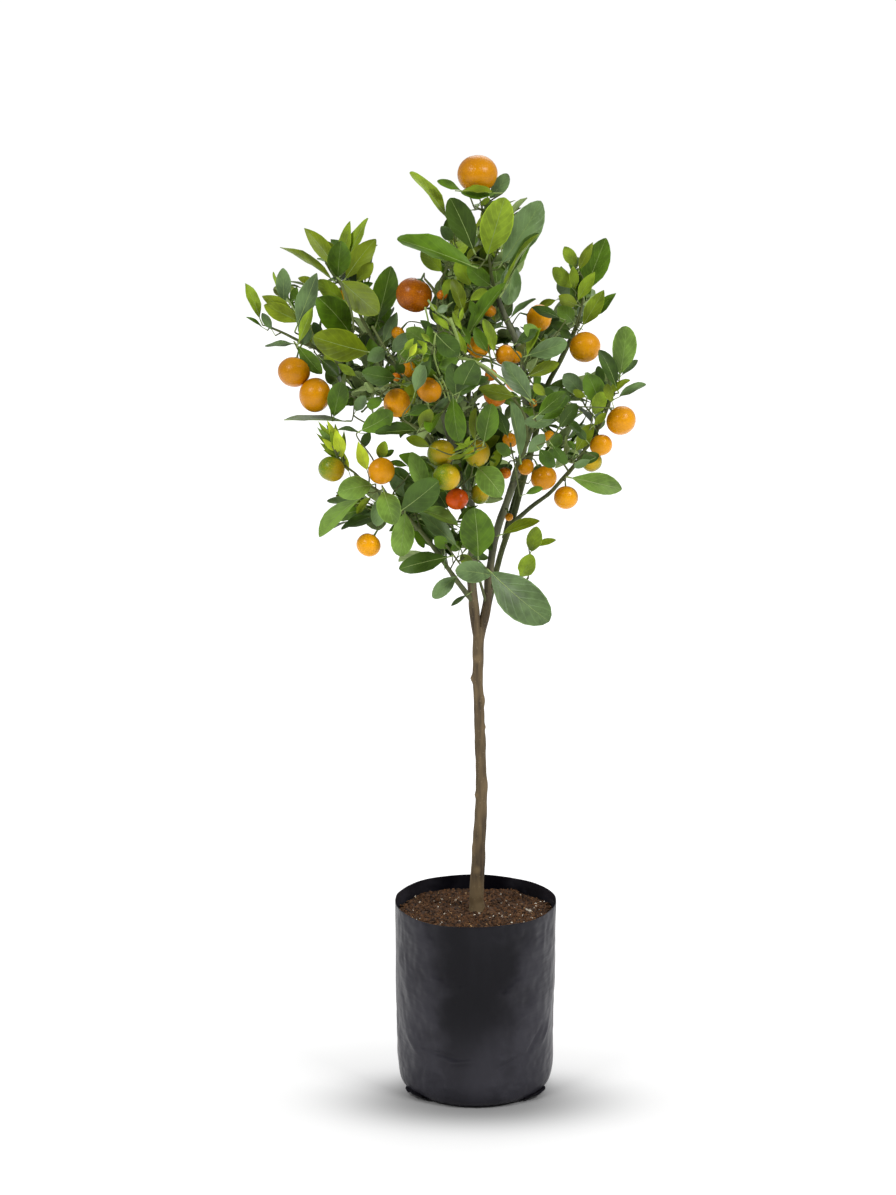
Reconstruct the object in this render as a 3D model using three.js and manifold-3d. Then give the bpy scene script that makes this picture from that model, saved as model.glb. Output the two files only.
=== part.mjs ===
// A young calamondin orange tree, trained as a half standard, in a round black film grow bag.
//
// Frame: millimetres, +Z up. The origin is the centre of the bag's flat underside, and -Y is the front.
// The bag holds a cylinder of soil, the trunk stands on the soil and forks into two stems, and boughs
// leave the stems. Each mass of foliage is one uneven solid, which the limbs run into.
import * as THREE from "three";
import { mergeVertices } from "three/addons/utils/BufferGeometryUtils.js";
import Module from "manifold-3d";

const wasm = await Module();
wasm.setup();

// ---------------------------------------------------------------- driving dimensions

const BAG_RADIUS = 85; // outside, at the rim
const BAG_HEIGHT = 200;
const FILM = 1.2; // wall of the bag
const BAG_SIDES = 36;

const SOIL_TOP = 188; // height of the soil's surface
const GAP = 0.3; // between two pieces that rest on each other

const LIMB_SIDES = 6;
const TRUNK_SIDES = 10;
const LIMB_STEP = 22; // length of limb to one ring of faces

// The bag's outer radius at each height, from the tucked corner of its base to its rim.
const BAG_PROFILE = [
  [BAG_RADIUS - 16, 0],
  [BAG_RADIUS - 8, 4],
  [BAG_RADIUS - 4.5, 13],
  [BAG_RADIUS - 2.5, 32],
  [BAG_RADIUS - 1.4, 100],
  [BAG_RADIUS, BAG_HEIGHT],
];

// Each stop of a limb is [x, y, z, radius].
const FORK_LEFT = [-2.5, -1, 503, 5];
const FORK_RIGHT = [9.5, 2, 503, 5];

const TRUNK = [
  [2, 0, SOIL_TOP + GAP, 9.4],
  [1.5, 0, 196, 7.9],
  [1.2, 0, 206, 7.3],
  [3, 0, 245, 6.9],
  [5, 0, 288, 6.4],
  [5.8, 0, 316, 6.3],
  [5, 0, 358, 5.8],
  [4, 0, 388, 5.5],
  [3, 0, 417, 5.5],
  [2, 0, 440, 5.2],
  [2.4, 0, 474, 5.3],
];

// The limbs in the order in which they are cut: each starts inside its parent and is cut back to its bark.
const LIMBS = {
  stem_left: [
    FORK_LEFT,
    [-4, -3, 523, 4.8],
    [-6, -6, 550, 4.6],
    [-4, -10, 582, 4.4],
    [-5, -12, 618, 4.3],
    [-15, -12, 661, 4.1],
    [-28, -12, 694, 3.6],
    [-35, -14, 725, 3.1],
  ],
  stem_right: [
    FORK_RIGHT,
    [13, 5, 521, 4.6],
    [17, 8, 552, 4.3],
    [22, 10, 588, 4.1],
    [30, 10, 625, 3.7],
    [43, 8, 663, 3.4],
    [51, 6, 699, 3.2],
    [50, 3, 736, 3.1],
    [44, 0, 776, 3],
    [29, -3, 810, 2.8],
    [21, -5, 830, 2.6],
  ],
  stem_back: [
    [11, 6, 506, 3.6],
    [14, 18, 524, 3.4],
    [20, 27, 550, 3.1],
    [27, 35, 574, 2.9],
    [35, 42, 598, 2.8],
    [45, 50, 633, 2.8],
    [59, 57, 679, 2.8],
    [72, 60, 731, 2.8],
    [85, 60, 758, 2.6],
    [98, 60, 785, 2.3],
    [104, 60, 800, 2.1],
  ],
  bough_right: [
    [36, 41, 594, 2.4],
    [45, 33, 603, 2.3],
    [58, 20, 617, 2.2],
    [74, 5, 632, 2.1],
    [86, -8, 648, 2],
    [100, -18, 667, 1.9],
    [119, -26, 700, 1.7],
    [127, -29, 716, 1.6],
  ],
  bough_low_left: [
    [-4, -4, 523, 3],
    [-13, -14, 536, 2.8],
    [-27, -26, 558, 2.5],
    [-39, -36, 578, 2.3],
    [-50, -43, 594, 2.2],
    [-61, -47, 608, 2],
    [-76, -46, 624, 1.9],
    [-88, -42, 636, 1.7],
  ],
  bough_left: [
    [-19, -12, 673, 2.9],
    [-32, -8, 680, 2.7],
    [-43, -4, 688, 2.5],
    [-59, 0, 700, 2.3],
    [-73, 4, 711, 2.2],
    [-87, 8, 724, 2.1],
    [-104, 12, 738, 2],
    [-132, 16, 757, 1.8],
    [-162, 20, 778, 1.6],
    [-176, 21, 790, 1.4],
  ],
  bough_upper_left: [
    [-33, -13, 716, 2.7],
    [-49, -4, 728, 2.4],
    [-61, 6, 737, 2.2],
    [-75, 16, 752, 2.1],
    [-89, 24, 766, 2],
    [-102, 30, 782, 1.8],
    [-116, 36, 806, 1.6],
    [-122, 37, 822, 1.5],
  ],
  bough_middle: [
    [-34, -14, 721, 2.7],
    [-37, -17, 746, 2.4],
    [-39, -18, 770, 2.2],
    [-36, -18, 792, 2],
  ],
  bough_back_left: [
    [-5, -11, 600, 3],
    [-20, 12, 628, 2.7],
    [-42, 42, 665, 2.3],
    [-65, 72, 705, 2],
    [-80, 92, 738, 1.7],
  ],
  bough_back_right: [
    [29, 37, 580, 2.6],
    [40, 60, 616, 2.4],
    [56, 90, 660, 2.1],
    [71, 115, 702, 1.8],
    [79, 130, 732, 1.6],
  ],
  bough_back: [
    [-13, -11, 652, 2.9],
    [-11, 20, 690, 2.6],
    [-7, 54, 732, 2.2],
    [-1, 84, 776, 1.9],
    [2, 98, 802, 1.7],
  ],
  bough_front_left: [
    [-10, -12, 640, 2.7],
    [-27, -38, 668, 2.4],
    [-45, -66, 696, 2],
    [-57, -84, 720, 1.7],
  ],
  bough_front_right: [
    [37, 9, 645, 2.7],
    [42, -20, 668, 2.4],
    [50, -53, 694, 2],
    [57, -80, 724, 1.7],
  ],
};

// A mass of foliage: its middle, the half sizes of its dense core along X, Y and Z, the tips of the
// sprays that reach furthest out of it, and the seed of the smaller lumps in between.
const MASSES = {
  foliage_top: {
    at: [0, -4, 889],
    core: [48, 42, 52],
    tips: [[0, -5, 969], [-66, -20, 955], [-80, -10, 889], [66, 5, 926], [31, 20, 951], [61, 20, 865],
      [-47, -20, 840], [0, -60, 880], [6, 52, 900]],
    seed: 3,
  },
  foliage_upper_left: {
    at: [-140, 38, 846],
    core: [40, 36, 36],
    tips: [[-200, 35, 880], [-172, 50, 899], [-126, 45, 906], [-108, 30, 908], [-86, 14, 860],
      [-180, 30, 822], [-108, 20, 808], [-140, 92, 862]],
    seed: 5,
  },
  foliage_left_tip: {
    at: [-194, 20, 812],
    core: [28, 28, 28],
    tips: [[-233, 20, 844], [-234, 15, 806], [-194, 30, 860], [-214, 8, 780], [-178, 20, 784],
      [-200, -22, 820], [-190, 62, 826]],
    seed: 8,
  },
  foliage_upper_right: {
    at: [104, 60, 834],
    core: [30, 32, 36],
    tips: [[134, 60, 887], [88, 60, 880], [142, 50, 832], [74, 70, 856], [60, 58, 818],
      [128, 48, 802], [110, 106, 846], [96, 20, 840]],
    seed: 13,
  },
  foliage_right: {
    at: [134, -28, 752],
    core: [26, 30, 38],
    tips: [[149, -30, 806], [170, -30, 748], [160, -30, 774], [158, -30, 700], [108, 0, 783],
      [98, -22, 712], [136, -74, 752], [132, 18, 760]],
    seed: 21,
  },
  foliage_right_low: {
    at: [106, -26, 660],
    core: [32, 28, 24],
    tips: [[146, -30, 641], [124, -25, 692], [58, -25, 648], [90, -25, 620], [138, -34, 684],
      [104, -62, 656], [110, 14, 664]],
    seed: 34,
  },
  foliage_right_middle: {
    at: [60, -10, 750],
    core: [30, 32, 42],
    tips: [[92, -10, 788], [24, -20, 769], [56, -10, 690], [86, -10, 708], [43, 0, 808], [64, -50, 744]],
    seed: 55,
  },
  foliage_left_middle: {
    at: [-130, 5, 748],
    core: [44, 34, 28],
    tips: [[-198, 0, 754], [-163, 0, 791], [-178, -10, 716], [-77, 10, 782], [-82, 0, 713],
      [-136, -42, 748], [-122, 50, 744]],
    seed: 89,
  },
  foliage_low_left: {
    at: [-122, -40, 648],
    core: [38, 34, 40],
    tips: [[-191, -30, 712], [-158, -60, 599], [-166, -40, 652], [-136, -40, 708], [-84, -60, 610],
      [-108, -60, 578], [-124, -88, 650], [-120, 10, 652]],
    seed: 17,
  },
  foliage_low_middle: {
    at: [-56, -45, 594],
    core: [24, 24, 28],
    tips: [[-78, -50, 560], [-43, -45, 534], [-88, -46, 622], [-27, -40, 623], [-62, -42, 660],
      [-56, -80, 592], [-50, -12, 590]],
    seed: 23,
  },
  foliage_skirt_left: {
    at: [-13, -31, 572],
    core: [15, 16, 30],
    tips: [[-28, -30, 522], [-2, -34, 622], [-24, -40, 551], [11, -32, 546], [-14, -58, 576]],
    seed: 29,
  },
  foliage_skirt_right: {
    at: [47, -14, 554],
    core: [20, 20, 26],
    tips: [[75, -22, 514], [50, -22, 496], [82, -12, 588], [64, -8, 604], [16, 5, 558],
      [48, -44, 550], [50, 16, 552]],
    seed: 31,
  },
  foliage_centre_low: {
    at: [-18, -36, 664],
    core: [32, 28, 26],
    tips: [[-58, -34, 690], [22, -34, 652], [-22, -36, 618], [18, -30, 692], [-18, -76, 662]],
    seed: 37,
  },
  foliage_centre: {
    at: [-32, -22, 738],
    core: [40, 34, 32],
    tips: [[-80, -22, 730], [20, -16, 752], [-22, -30, 694], [-70, -10, 784], [-30, -64, 740]],
    seed: 41,
  },
  foliage_centre_top: {
    at: [-12, -14, 804],
    core: [38, 34, 28],
    tips: [[-58, -18, 832], [34, -10, 834], [40, 0, 782], [-48, -10, 780], [-12, -58, 806], [-8, 34, 806]],
    seed: 43,
  },
  foliage_front_left: {
    at: [-64, -102, 744],
    core: [36, 32, 36],
    tips: [[-106, -116, 770], [-24, -110, 772], [-66, -106, 798], [-98, -104, 706], [-34, -112, 702],
      [-64, -152, 738]],
    seed: 47,
  },
  foliage_front_right: {
    at: [58, -100, 748],
    core: [34, 32, 38],
    tips: [[98, -108, 780], [16, -112, 776], [60, -104, 804], [92, -104, 704], [30, -110, 706],
      [60, -150, 742]],
    seed: 53,
  },
  foliage_back_low: {
    at: [-12, 60, 674],
    core: [34, 30, 28],
    tips: [[-60, 62, 690], [30, 70, 690], [-14, 70, 628], [-10, 108, 672]],
    seed: 59,
  },
  foliage_back_left: {
    at: [-90, 108, 764],
    core: [44, 38, 44],
    tips: [[-146, 110, 786], [-44, 120, 800], [-92, 112, 822], [-130, 100, 716], [-56, 116, 706],
      [-94, 168, 764]],
    seed: 61,
  },
  foliage_back_right: {
    at: [82, 138, 758],
    core: [42, 38, 44],
    tips: [[134, 132, 780], [40, 150, 792], [84, 140, 820], [124, 126, 714], [46, 140, 702],
      [86, 192, 756]],
    seed: 67,
  },
  foliage_back_top: {
    at: [2, 112, 836],
    core: [44, 38, 40],
    tips: [[-52, 110, 850], [56, 120, 856], [0, 112, 896], [-38, 112, 792], [44, 112, 794],
      [4, 168, 834]],
    seed: 71,
  },
};
const LARGE_MASS = 40; // widest core half size past which a mass is cut more finely
const TIP_SHARPNESS = 9; // how narrow the lobe is that runs out to a tip
const TIP_BLUNTNESS = 1.15; // how broad its end is
const LUMPS = 6; // smaller rounded lumps and dents on one mass
const LUMP_HEIGHT = 0.3; // of the core's half size
const LUMP_SHARPNESS = 7;

// ---------------------------------------------------------------- finishes

const film = new THREE.MeshStandardMaterial({ color: 0x1b1c1f, roughness: 0.42 });
const compost = new THREE.MeshStandardMaterial({ color: 0x4a2f1f, roughness: 0.95 });
const bark = new THREE.MeshStandardMaterial({ color: 0x7a6a50, roughness: 0.85 });
const greenBark = new THREE.MeshStandardMaterial({ color: 0x4f5b3a, roughness: 0.7 });
const foliage = new THREE.MeshStandardMaterial({ color: 0x4c7a30, roughness: 0.5 });

// ---------------------------------------------------------------- solids

// A closed geometry as a manifold solid.
function solidOf(geometry) {
  const bare = geometry.index ? geometry.toNonIndexed() : geometry.clone();
  bare.deleteAttribute("normal");
  bare.deleteAttribute("uv");
  const merged = mergeVertices(bare, 1e-3);
  return new wasm.Manifold(
    new wasm.Mesh({
      numProp: 3,
      vertProperties: merged.attributes.position.array,
      triVerts: new Uint32Array(merged.index.array),
    }),
  );
}

// A solid as a named mesh. Crumbs that a cut leaves are dropped.
function meshOf(name, solid, material) {
  const largest = solid.decompose().sort((a, b) => b.volume() - a.volume())[0];
  const { vertProperties, triVerts } = largest.getMesh();
  const geometry = new THREE.BufferGeometry();
  geometry.setAttribute("position", new THREE.BufferAttribute(vertProperties, 3));
  geometry.setIndex(new THREE.BufferAttribute(triVerts, 1));
  geometry.computeVertexNormals();
  const mesh = new THREE.Mesh(geometry, material);
  mesh.name = name;
  return mesh;
}

// A tapering tube through its stops. Its ends are flat and square to it, or level at a level foot.
function limb(stops, sides, { swell = 0, levelFoot = false } = {}) {
  const route = new THREE.CatmullRomCurve3(
    stops.map(([x, y, z]) => new THREE.Vector3(x, y, z)),
    false,
    "centripetal",
  );
  const rings = Math.max(4, Math.round(route.getLength() / LIMB_STEP));
  const positions = [];
  for (let i = 0; i <= rings; i++) {
    const t = i / rings;
    const middle = route.getPoint(t);
    const along = levelFoot && i === 0 ? new THREE.Vector3(0, 0, 1) : route.getTangent(t);
    const across = new THREE.Vector3(0, 1, 0).cross(along).normalize();
    const up = along.clone().cross(across);
    const place = t * (stops.length - 1);
    const stop = Math.min(Math.floor(place), stops.length - 2);
    const radius = THREE.MathUtils.lerp(stops[stop][3], stops[stop + 1][3], place - stop) + swell;
    for (let side = 0; side < sides; side++) {
      const angle = (2 * Math.PI * side) / sides;
      const point = middle
        .clone()
        .addScaledVector(across, radius * Math.cos(angle))
        .addScaledVector(up, radius * Math.sin(angle));
      positions.push(point.x, point.y, point.z);
    }
  }
  const faces = [];
  for (let ring = 0; ring < rings; ring++) {
    for (let side = 0; side < sides; side++) {
      const a = ring * sides + side;
      const b = ring * sides + ((side + 1) % sides);
      faces.push(a, b, b + sides, a, b + sides, a + sides);
    }
  }
  const last = rings * sides;
  for (let side = 1; side < sides - 1; side++) {
    faces.push(0, side + 1, side);
    faces.push(last, last + side, last + side + 1);
  }
  const geometry = new THREE.BufferGeometry();
  geometry.setAttribute("position", new THREE.Float32BufferAttribute(positions, 3));
  geometry.setIndex(faces);
  return solidOf(geometry);
}

// Numbers from 0 to 1 that a seed fixes.
function randomFrom(seed) {
  let state = seed * 2654435761;
  return () => {
    state = (state + 0x6d2b79f5) | 0;
    let mixed = Math.imul(state ^ (state >>> 15), 1 | state);
    mixed = (mixed + Math.imul(mixed ^ (mixed >>> 7), 61 | mixed)) ^ mixed;
    return ((mixed ^ (mixed >>> 14)) >>> 0) / 4294967296;
  };
}

// An uneven ellipsoid: lumps and dents rise and fall over its core, and a lobe runs out to each tip.
function mass({ at, core, tips, seed }, swell = 0) {
  const random = randomFrom(seed);
  const middle = new THREE.Vector3(...at);
  const half = new THREE.Vector3(...core);
  const lumps = Array.from({ length: LUMPS }, () => ({
    towards: new THREE.Vector3().setFromSphericalCoords(1, Math.acos(2 * random() - 1), 2 * Math.PI * random()),
    height: LUMP_HEIGHT * (random() - 0.35),
  }));
  const lobes = tips.map((tip) => {
    const reach = new THREE.Vector3(...tip).sub(middle);
    return { towards: reach.clone().normalize(), length: reach.length() };
  });
  const geometry = new THREE.IcosahedronGeometry(1, Math.max(...core) > LARGE_MASS ? 3 : 2);
  const corners = geometry.attributes.position;
  const point = new THREE.Vector3();
  for (let i = 0; i < corners.count; i++) {
    const direction = point.fromBufferAttribute(corners, i).normalize().clone();
    const share = lumps.reduce(
      (sum, { towards, height }) => sum + height * Math.exp(LUMP_SHARPNESS * (towards.dot(direction) - 1)),
      1,
    );
    const coreRadius = direction.clone().multiply(half).length() * share;
    const radius = lobes.reduce((furthest, { towards, length }) => {
      const lobe = Math.min(1, TIP_BLUNTNESS * Math.exp(TIP_SHARPNESS * (towards.dot(direction) - 1)));
      return Math.max(furthest, coreRadius + (length - coreRadius) * lobe);
    }, coreRadius);
    point.copy(direction).multiplyScalar(radius + swell).add(middle);
    corners.setXYZ(i, point.x, point.y, point.z);
  }
  return solidOf(geometry);
}

// ---------------------------------------------------------------- bag and soil

function lathe(profile) {
  const points = profile.map(([radius, height]) => new THREE.Vector2(radius, height));
  const turned = new THREE.LatheGeometry(points, BAG_SIDES).rotateX(Math.PI / 2);
  return solidOf(turned);
}

function growBag() {
  const inside = BAG_PROFILE.map(([radius, height]) => [
    radius - FILM,
    Math.max(height, FILM),
  ]);
  return lathe([[0, 0], ...BAG_PROFILE, ...inside.reverse(), [0, FILM]]);
}

// The bag's inner radius at a height, less the gap that the soil keeps to it.
function soilRadius(height) {
  const above = BAG_PROFILE.findIndex(([, z]) => z >= height);
  const [r0, z0] = BAG_PROFILE[above - 1];
  const [r1, z1] = BAG_PROFILE[above];
  return r0 + ((r1 - r0) * (height - z0)) / (z1 - z0) - FILM - GAP;
}

function soil() {
  const floor = FILM + GAP;
  const heights = [...BAG_PROFILE.map(([, z]) => z).filter((z) => z > floor && z < SOIL_TOP), SOIL_TOP];
  return lathe([
    [0, floor],
    [BAG_PROFILE[0][0] - FILM, floor],
    ...heights.map((z) => [soilRadius(z), z]),
    [0, SOIL_TOP],
  ]);
}

// ---------------------------------------------------------------- trunk, limbs and foliage

// The trunk is joined to the feet of its two stems, so that it ends in a fork.
function trunk(swell = 0) {
  const whole = limb(TRUNK, TRUNK_SIDES, { swell, levelFoot: true });
  const crotch = TRUNK.at(-1);
  const arms = [FORK_LEFT, FORK_RIGHT].map(([x, y, z, radius]) =>
    limb(
      [[crotch[0], crotch[1], crotch[2] - 16, 4.6], [...crotch.slice(0, 3), 4.8], [x, y, z - GAP, radius]],
      TRUNK_SIDES,
      { swell },
    ),
  );
  return arms.reduce((joined, arm) => joined.add(arm), whole);
}

const tree = new THREE.Group();
tree.add(meshOf("grow_bag", growBag(), film));
tree.add(meshOf("soil", soil(), compost));
tree.add(meshOf("trunk", trunk(), bark));

const swollen = [trunk(GAP)];
for (const [name, stops] of Object.entries(LIMBS)) {
  const cut = swollen.reduce((left, other) => left.subtract(other), limb(stops, LIMB_SIDES));
  tree.add(meshOf(name, cut, name.startsWith("stem") ? bark : greenBark));
  swollen.push(limb(stops, LIMB_SIDES, { swell: GAP }));
}
for (const [name, form] of Object.entries(MASSES)) {
  const cut = swollen.reduce((left, other) => left.subtract(other), mass(form));
  tree.add(meshOf(name, cut, foliage));
  swollen.push(mass(form, GAP));
}

export default tree;
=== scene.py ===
"""Looks of a calamondin orange tree in its black grow bag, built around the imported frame.

The frame's axes: x to the right, y away from the viewer, z up, with the bag's underside on z = 0.
Tables hold millimetres, or the camera's picture units where their fields say so; MM turns
millimetres into the scene's metres. The tree is grown in the order of a real one: limbs first,
then sprays and twigs that start on them, then the leaves and the fruit that hang on those.
"""
import logging
import math
from dataclasses import dataclass, field
from enum import Enum
from typing import Sequence

import bpy
import numpy as np
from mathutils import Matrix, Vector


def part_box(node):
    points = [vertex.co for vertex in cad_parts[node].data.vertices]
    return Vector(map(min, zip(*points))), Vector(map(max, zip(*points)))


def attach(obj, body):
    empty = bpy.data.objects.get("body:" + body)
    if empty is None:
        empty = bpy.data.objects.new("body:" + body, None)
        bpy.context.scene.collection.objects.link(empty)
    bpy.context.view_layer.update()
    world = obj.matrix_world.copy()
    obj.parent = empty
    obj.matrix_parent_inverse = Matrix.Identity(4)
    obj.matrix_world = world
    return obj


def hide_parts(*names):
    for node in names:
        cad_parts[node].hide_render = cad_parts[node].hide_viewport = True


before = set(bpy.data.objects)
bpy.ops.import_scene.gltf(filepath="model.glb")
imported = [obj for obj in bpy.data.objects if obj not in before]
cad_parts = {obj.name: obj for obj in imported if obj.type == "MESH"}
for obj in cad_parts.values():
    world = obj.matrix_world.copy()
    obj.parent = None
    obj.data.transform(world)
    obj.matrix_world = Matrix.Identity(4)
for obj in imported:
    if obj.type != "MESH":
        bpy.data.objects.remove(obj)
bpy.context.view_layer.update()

Array = np.ndarray
Material = bpy.types.Material
Colour = tuple[float, float, float]
Place = tuple[float, float, float]
Span = tuple[float, float]
MM = 0.001
TURN = 2 * math.pi
GOLDEN_ANGLE = math.radians(137.508)
UP = np.array([0.0, 0.0, 1.0])
CROWN_MIDDLE = np.array([5.0, 10.0, 690.0])
BODY = "root"
SEED = 20417
HASH_STEPS = (374761393, 668265263, 1440662683)
HASH_SEED_STEP = 69069
HASH_MIX = 1274126177
LOW_WORD = 0xFFFFFFFF
LOG = logging.getLogger("calamondin")


# ---------------- numbers and curves


def unit(vectors: Array) -> Array:
    """Vectors divided by their own lengths."""
    return vectors / np.maximum(np.linalg.norm(vectors, axis=-1, keepdims=True), 1e-12)


def norms(vectors: Array) -> Array:
    """Length of each vector."""
    return np.linalg.norm(vectors, axis=-1)


def across(vectors: Array, axes: Array) -> Array:
    """Unit parts of the vectors at right angles to unit axes: v - (v.a) a, made unit."""
    return unit(vectors - np.sum(vectors * axes, axis=-1, keepdims=True) * axes)


def smooth_step(values: Array, low: float, high: float) -> Array:
    """0 below low, 1 above high, and 3f^2 - 2f^3 between them."""
    share = np.clip((values - low) / (high - low), 0.0, 1.0)
    return share * share * (3 - 2 * share)


def lattice_noise(points: Array, cell: float, seed: int) -> Array:
    """Smooth random field: hashed values at the corners of cubes, blended by 3f^2 - 2f^3.

    Args:
        points: places, the last axis holding x, y and z.
        cell: the side of one cube, in the same units.
        seed: picks the field.

    Returns:
        One value from -1 to 1 for each place.
    """
    scaled = points / cell
    corner = np.floor(scaled).astype(np.int64)
    blend = scaled - corner
    blend = blend * blend * (3 - 2 * blend)
    total = np.zeros(points.shape[:-1])
    for offset in np.ndindex(2, 2, 2):
        steps = np.moveaxis((corner + offset) * HASH_STEPS, -1, 0)
        code = (sum(steps) + seed * HASH_SEED_STEP) & LOW_WORD
        code = ((code ^ (code >> 13)) * HASH_MIX) & LOW_WORD
        code = (code ^ (code >> 16)) & 0xFFFF
        total += np.prod(np.where(offset, blend, 1 - blend), axis=-1) * (code / 32767.5 - 1)
    return total


@dataclass(frozen=True)
class Grain:
    """Uneven relief in mm: a sum of layers, each with half the cell and half the height of the last."""

    cell: float
    height: float
    seed: int
    stretch: Place = (1.0, 1.0, 1.0)
    layers: int = 3

    def at(self, points: Array) -> Array:
        """Its height at each point, from noise in the stretched space."""
        fields = (lattice_noise(points * self.stretch, self.cell / 2**k, SEED + self.seed + k) / 2**k
                  for k in range(self.layers))
        return sum(fields) * self.height


def smooth_path(stops: Sequence, step: float) -> Array:
    """Catmull-Rom curve through the stops, with the end stops mirrored for its ends.

    Args:
        stops: rows of x, y, z and radius.
        step: the distance wanted between rows of the result.

    Returns:
        Rows of x, y, z and radius, every stop among them.
    """
    stops = np.asarray(stops, float)
    padded = np.vstack([2 * stops[0] - stops[1], stops, 2 * stops[-1] - stops[-2]])
    rows = []
    for index, span in enumerate(norms(np.diff(stops[:, :3], axis=0))):
        t = np.linspace(0, 1, max(2, round(span / step)), endpoint=False)[:, None]
        before, start, end, after = padded[index : index + 4]
        square = 2 * before - 5 * start + 4 * end - after
        cube = 3 * start - before - 3 * end + after
        rows.append(0.5 * (2 * start + (end - before) * t + square * t**2 + cube * t**3))
    return np.vstack(rows + [stops[-1:]])


def bezier(start: Array, lead: Array, trail: Array, end: Array, rows: int) -> Array:
    """Cubic curve (1-t)^3 a + 3(1-t)^2 t b + 3(1-t) t^2 c + t^3 d, as a list of rows."""
    t = np.linspace(0, 1, rows)[:, None]
    return (1 - t) ** 3 * start + 3 * (1 - t) ** 2 * t * lead + 3 * (1 - t) * t**2 * trail + t**3 * end


def grid_faces(rows: int, columns: int, wrap: bool) -> Array:
    """Quads of a grid whose points run along columns first; columns dir x rows dir is outward.

    Args:
        rows: how many rows of points.
        columns: how many points in a row.
        wrap: whether each row closes into a ring.

    Returns:
        Four point numbers for each quad.
    """
    row, column = np.meshgrid(np.arange(rows - 1), np.arange(columns - (not wrap)), indexing="ij")
    here = (row * columns + column).ravel()
    right = (row * columns + (column + 1) % columns).ravel()
    return np.stack([here, right, right + columns, here + columns], axis=1)


def cap_faces(rows: int, columns: int) -> Array:
    """One face over the first ring, turned to look backwards, and one over the last."""
    ring = np.arange(columns)
    return np.stack([ring[::-1], ring + (rows - 1) * columns])


def ring_angles(count: int) -> Array:
    """Even angles round a ring, as a row."""
    return (np.arange(count) * TURN / count)[None, :]


def round_points(radius: Array, angle: Array, height: Array) -> Array:
    """Points (r cos a, r sin a, h), in the common shape of the three."""
    parts = radius * np.cos(angle), radius * np.sin(angle), height
    return np.stack(np.broadcast_arrays(*parts), axis=-1)


def tube_grid(paths: Array, radii: Array, sides: int) -> Array:
    """Rings carried along paths: p + r (cos a side + sin a up), side = axis x t, up = t x side.

    Args:
        paths: centre lines, shaped (..., rows, 3).
        radii: radius of each ring, shaped (..., rows) or (..., rows, sides).
        sides: points in a ring.

    Returns:
        Points shaped (..., rows, sides, 3).
    """
    tangents = unit(np.gradient(paths, axis=-2))
    chord = paths[..., -1, :] - paths[..., 0, :]
    least = np.eye(3)[np.argmin(np.abs(chord), axis=-1)]
    side = unit(np.cross(least[..., None, :], tangents))
    up = np.cross(tangents, side)
    angle = ring_angles(sides).T
    spokes = np.cos(angle) * side[..., None, :] + np.sin(angle) * up[..., None, :]
    if radii.ndim < spokes.ndim - 1:
        radii = radii[..., None]
    return paths[..., None, :] + radii[..., None] * spokes


# ---------------- meshes


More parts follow.
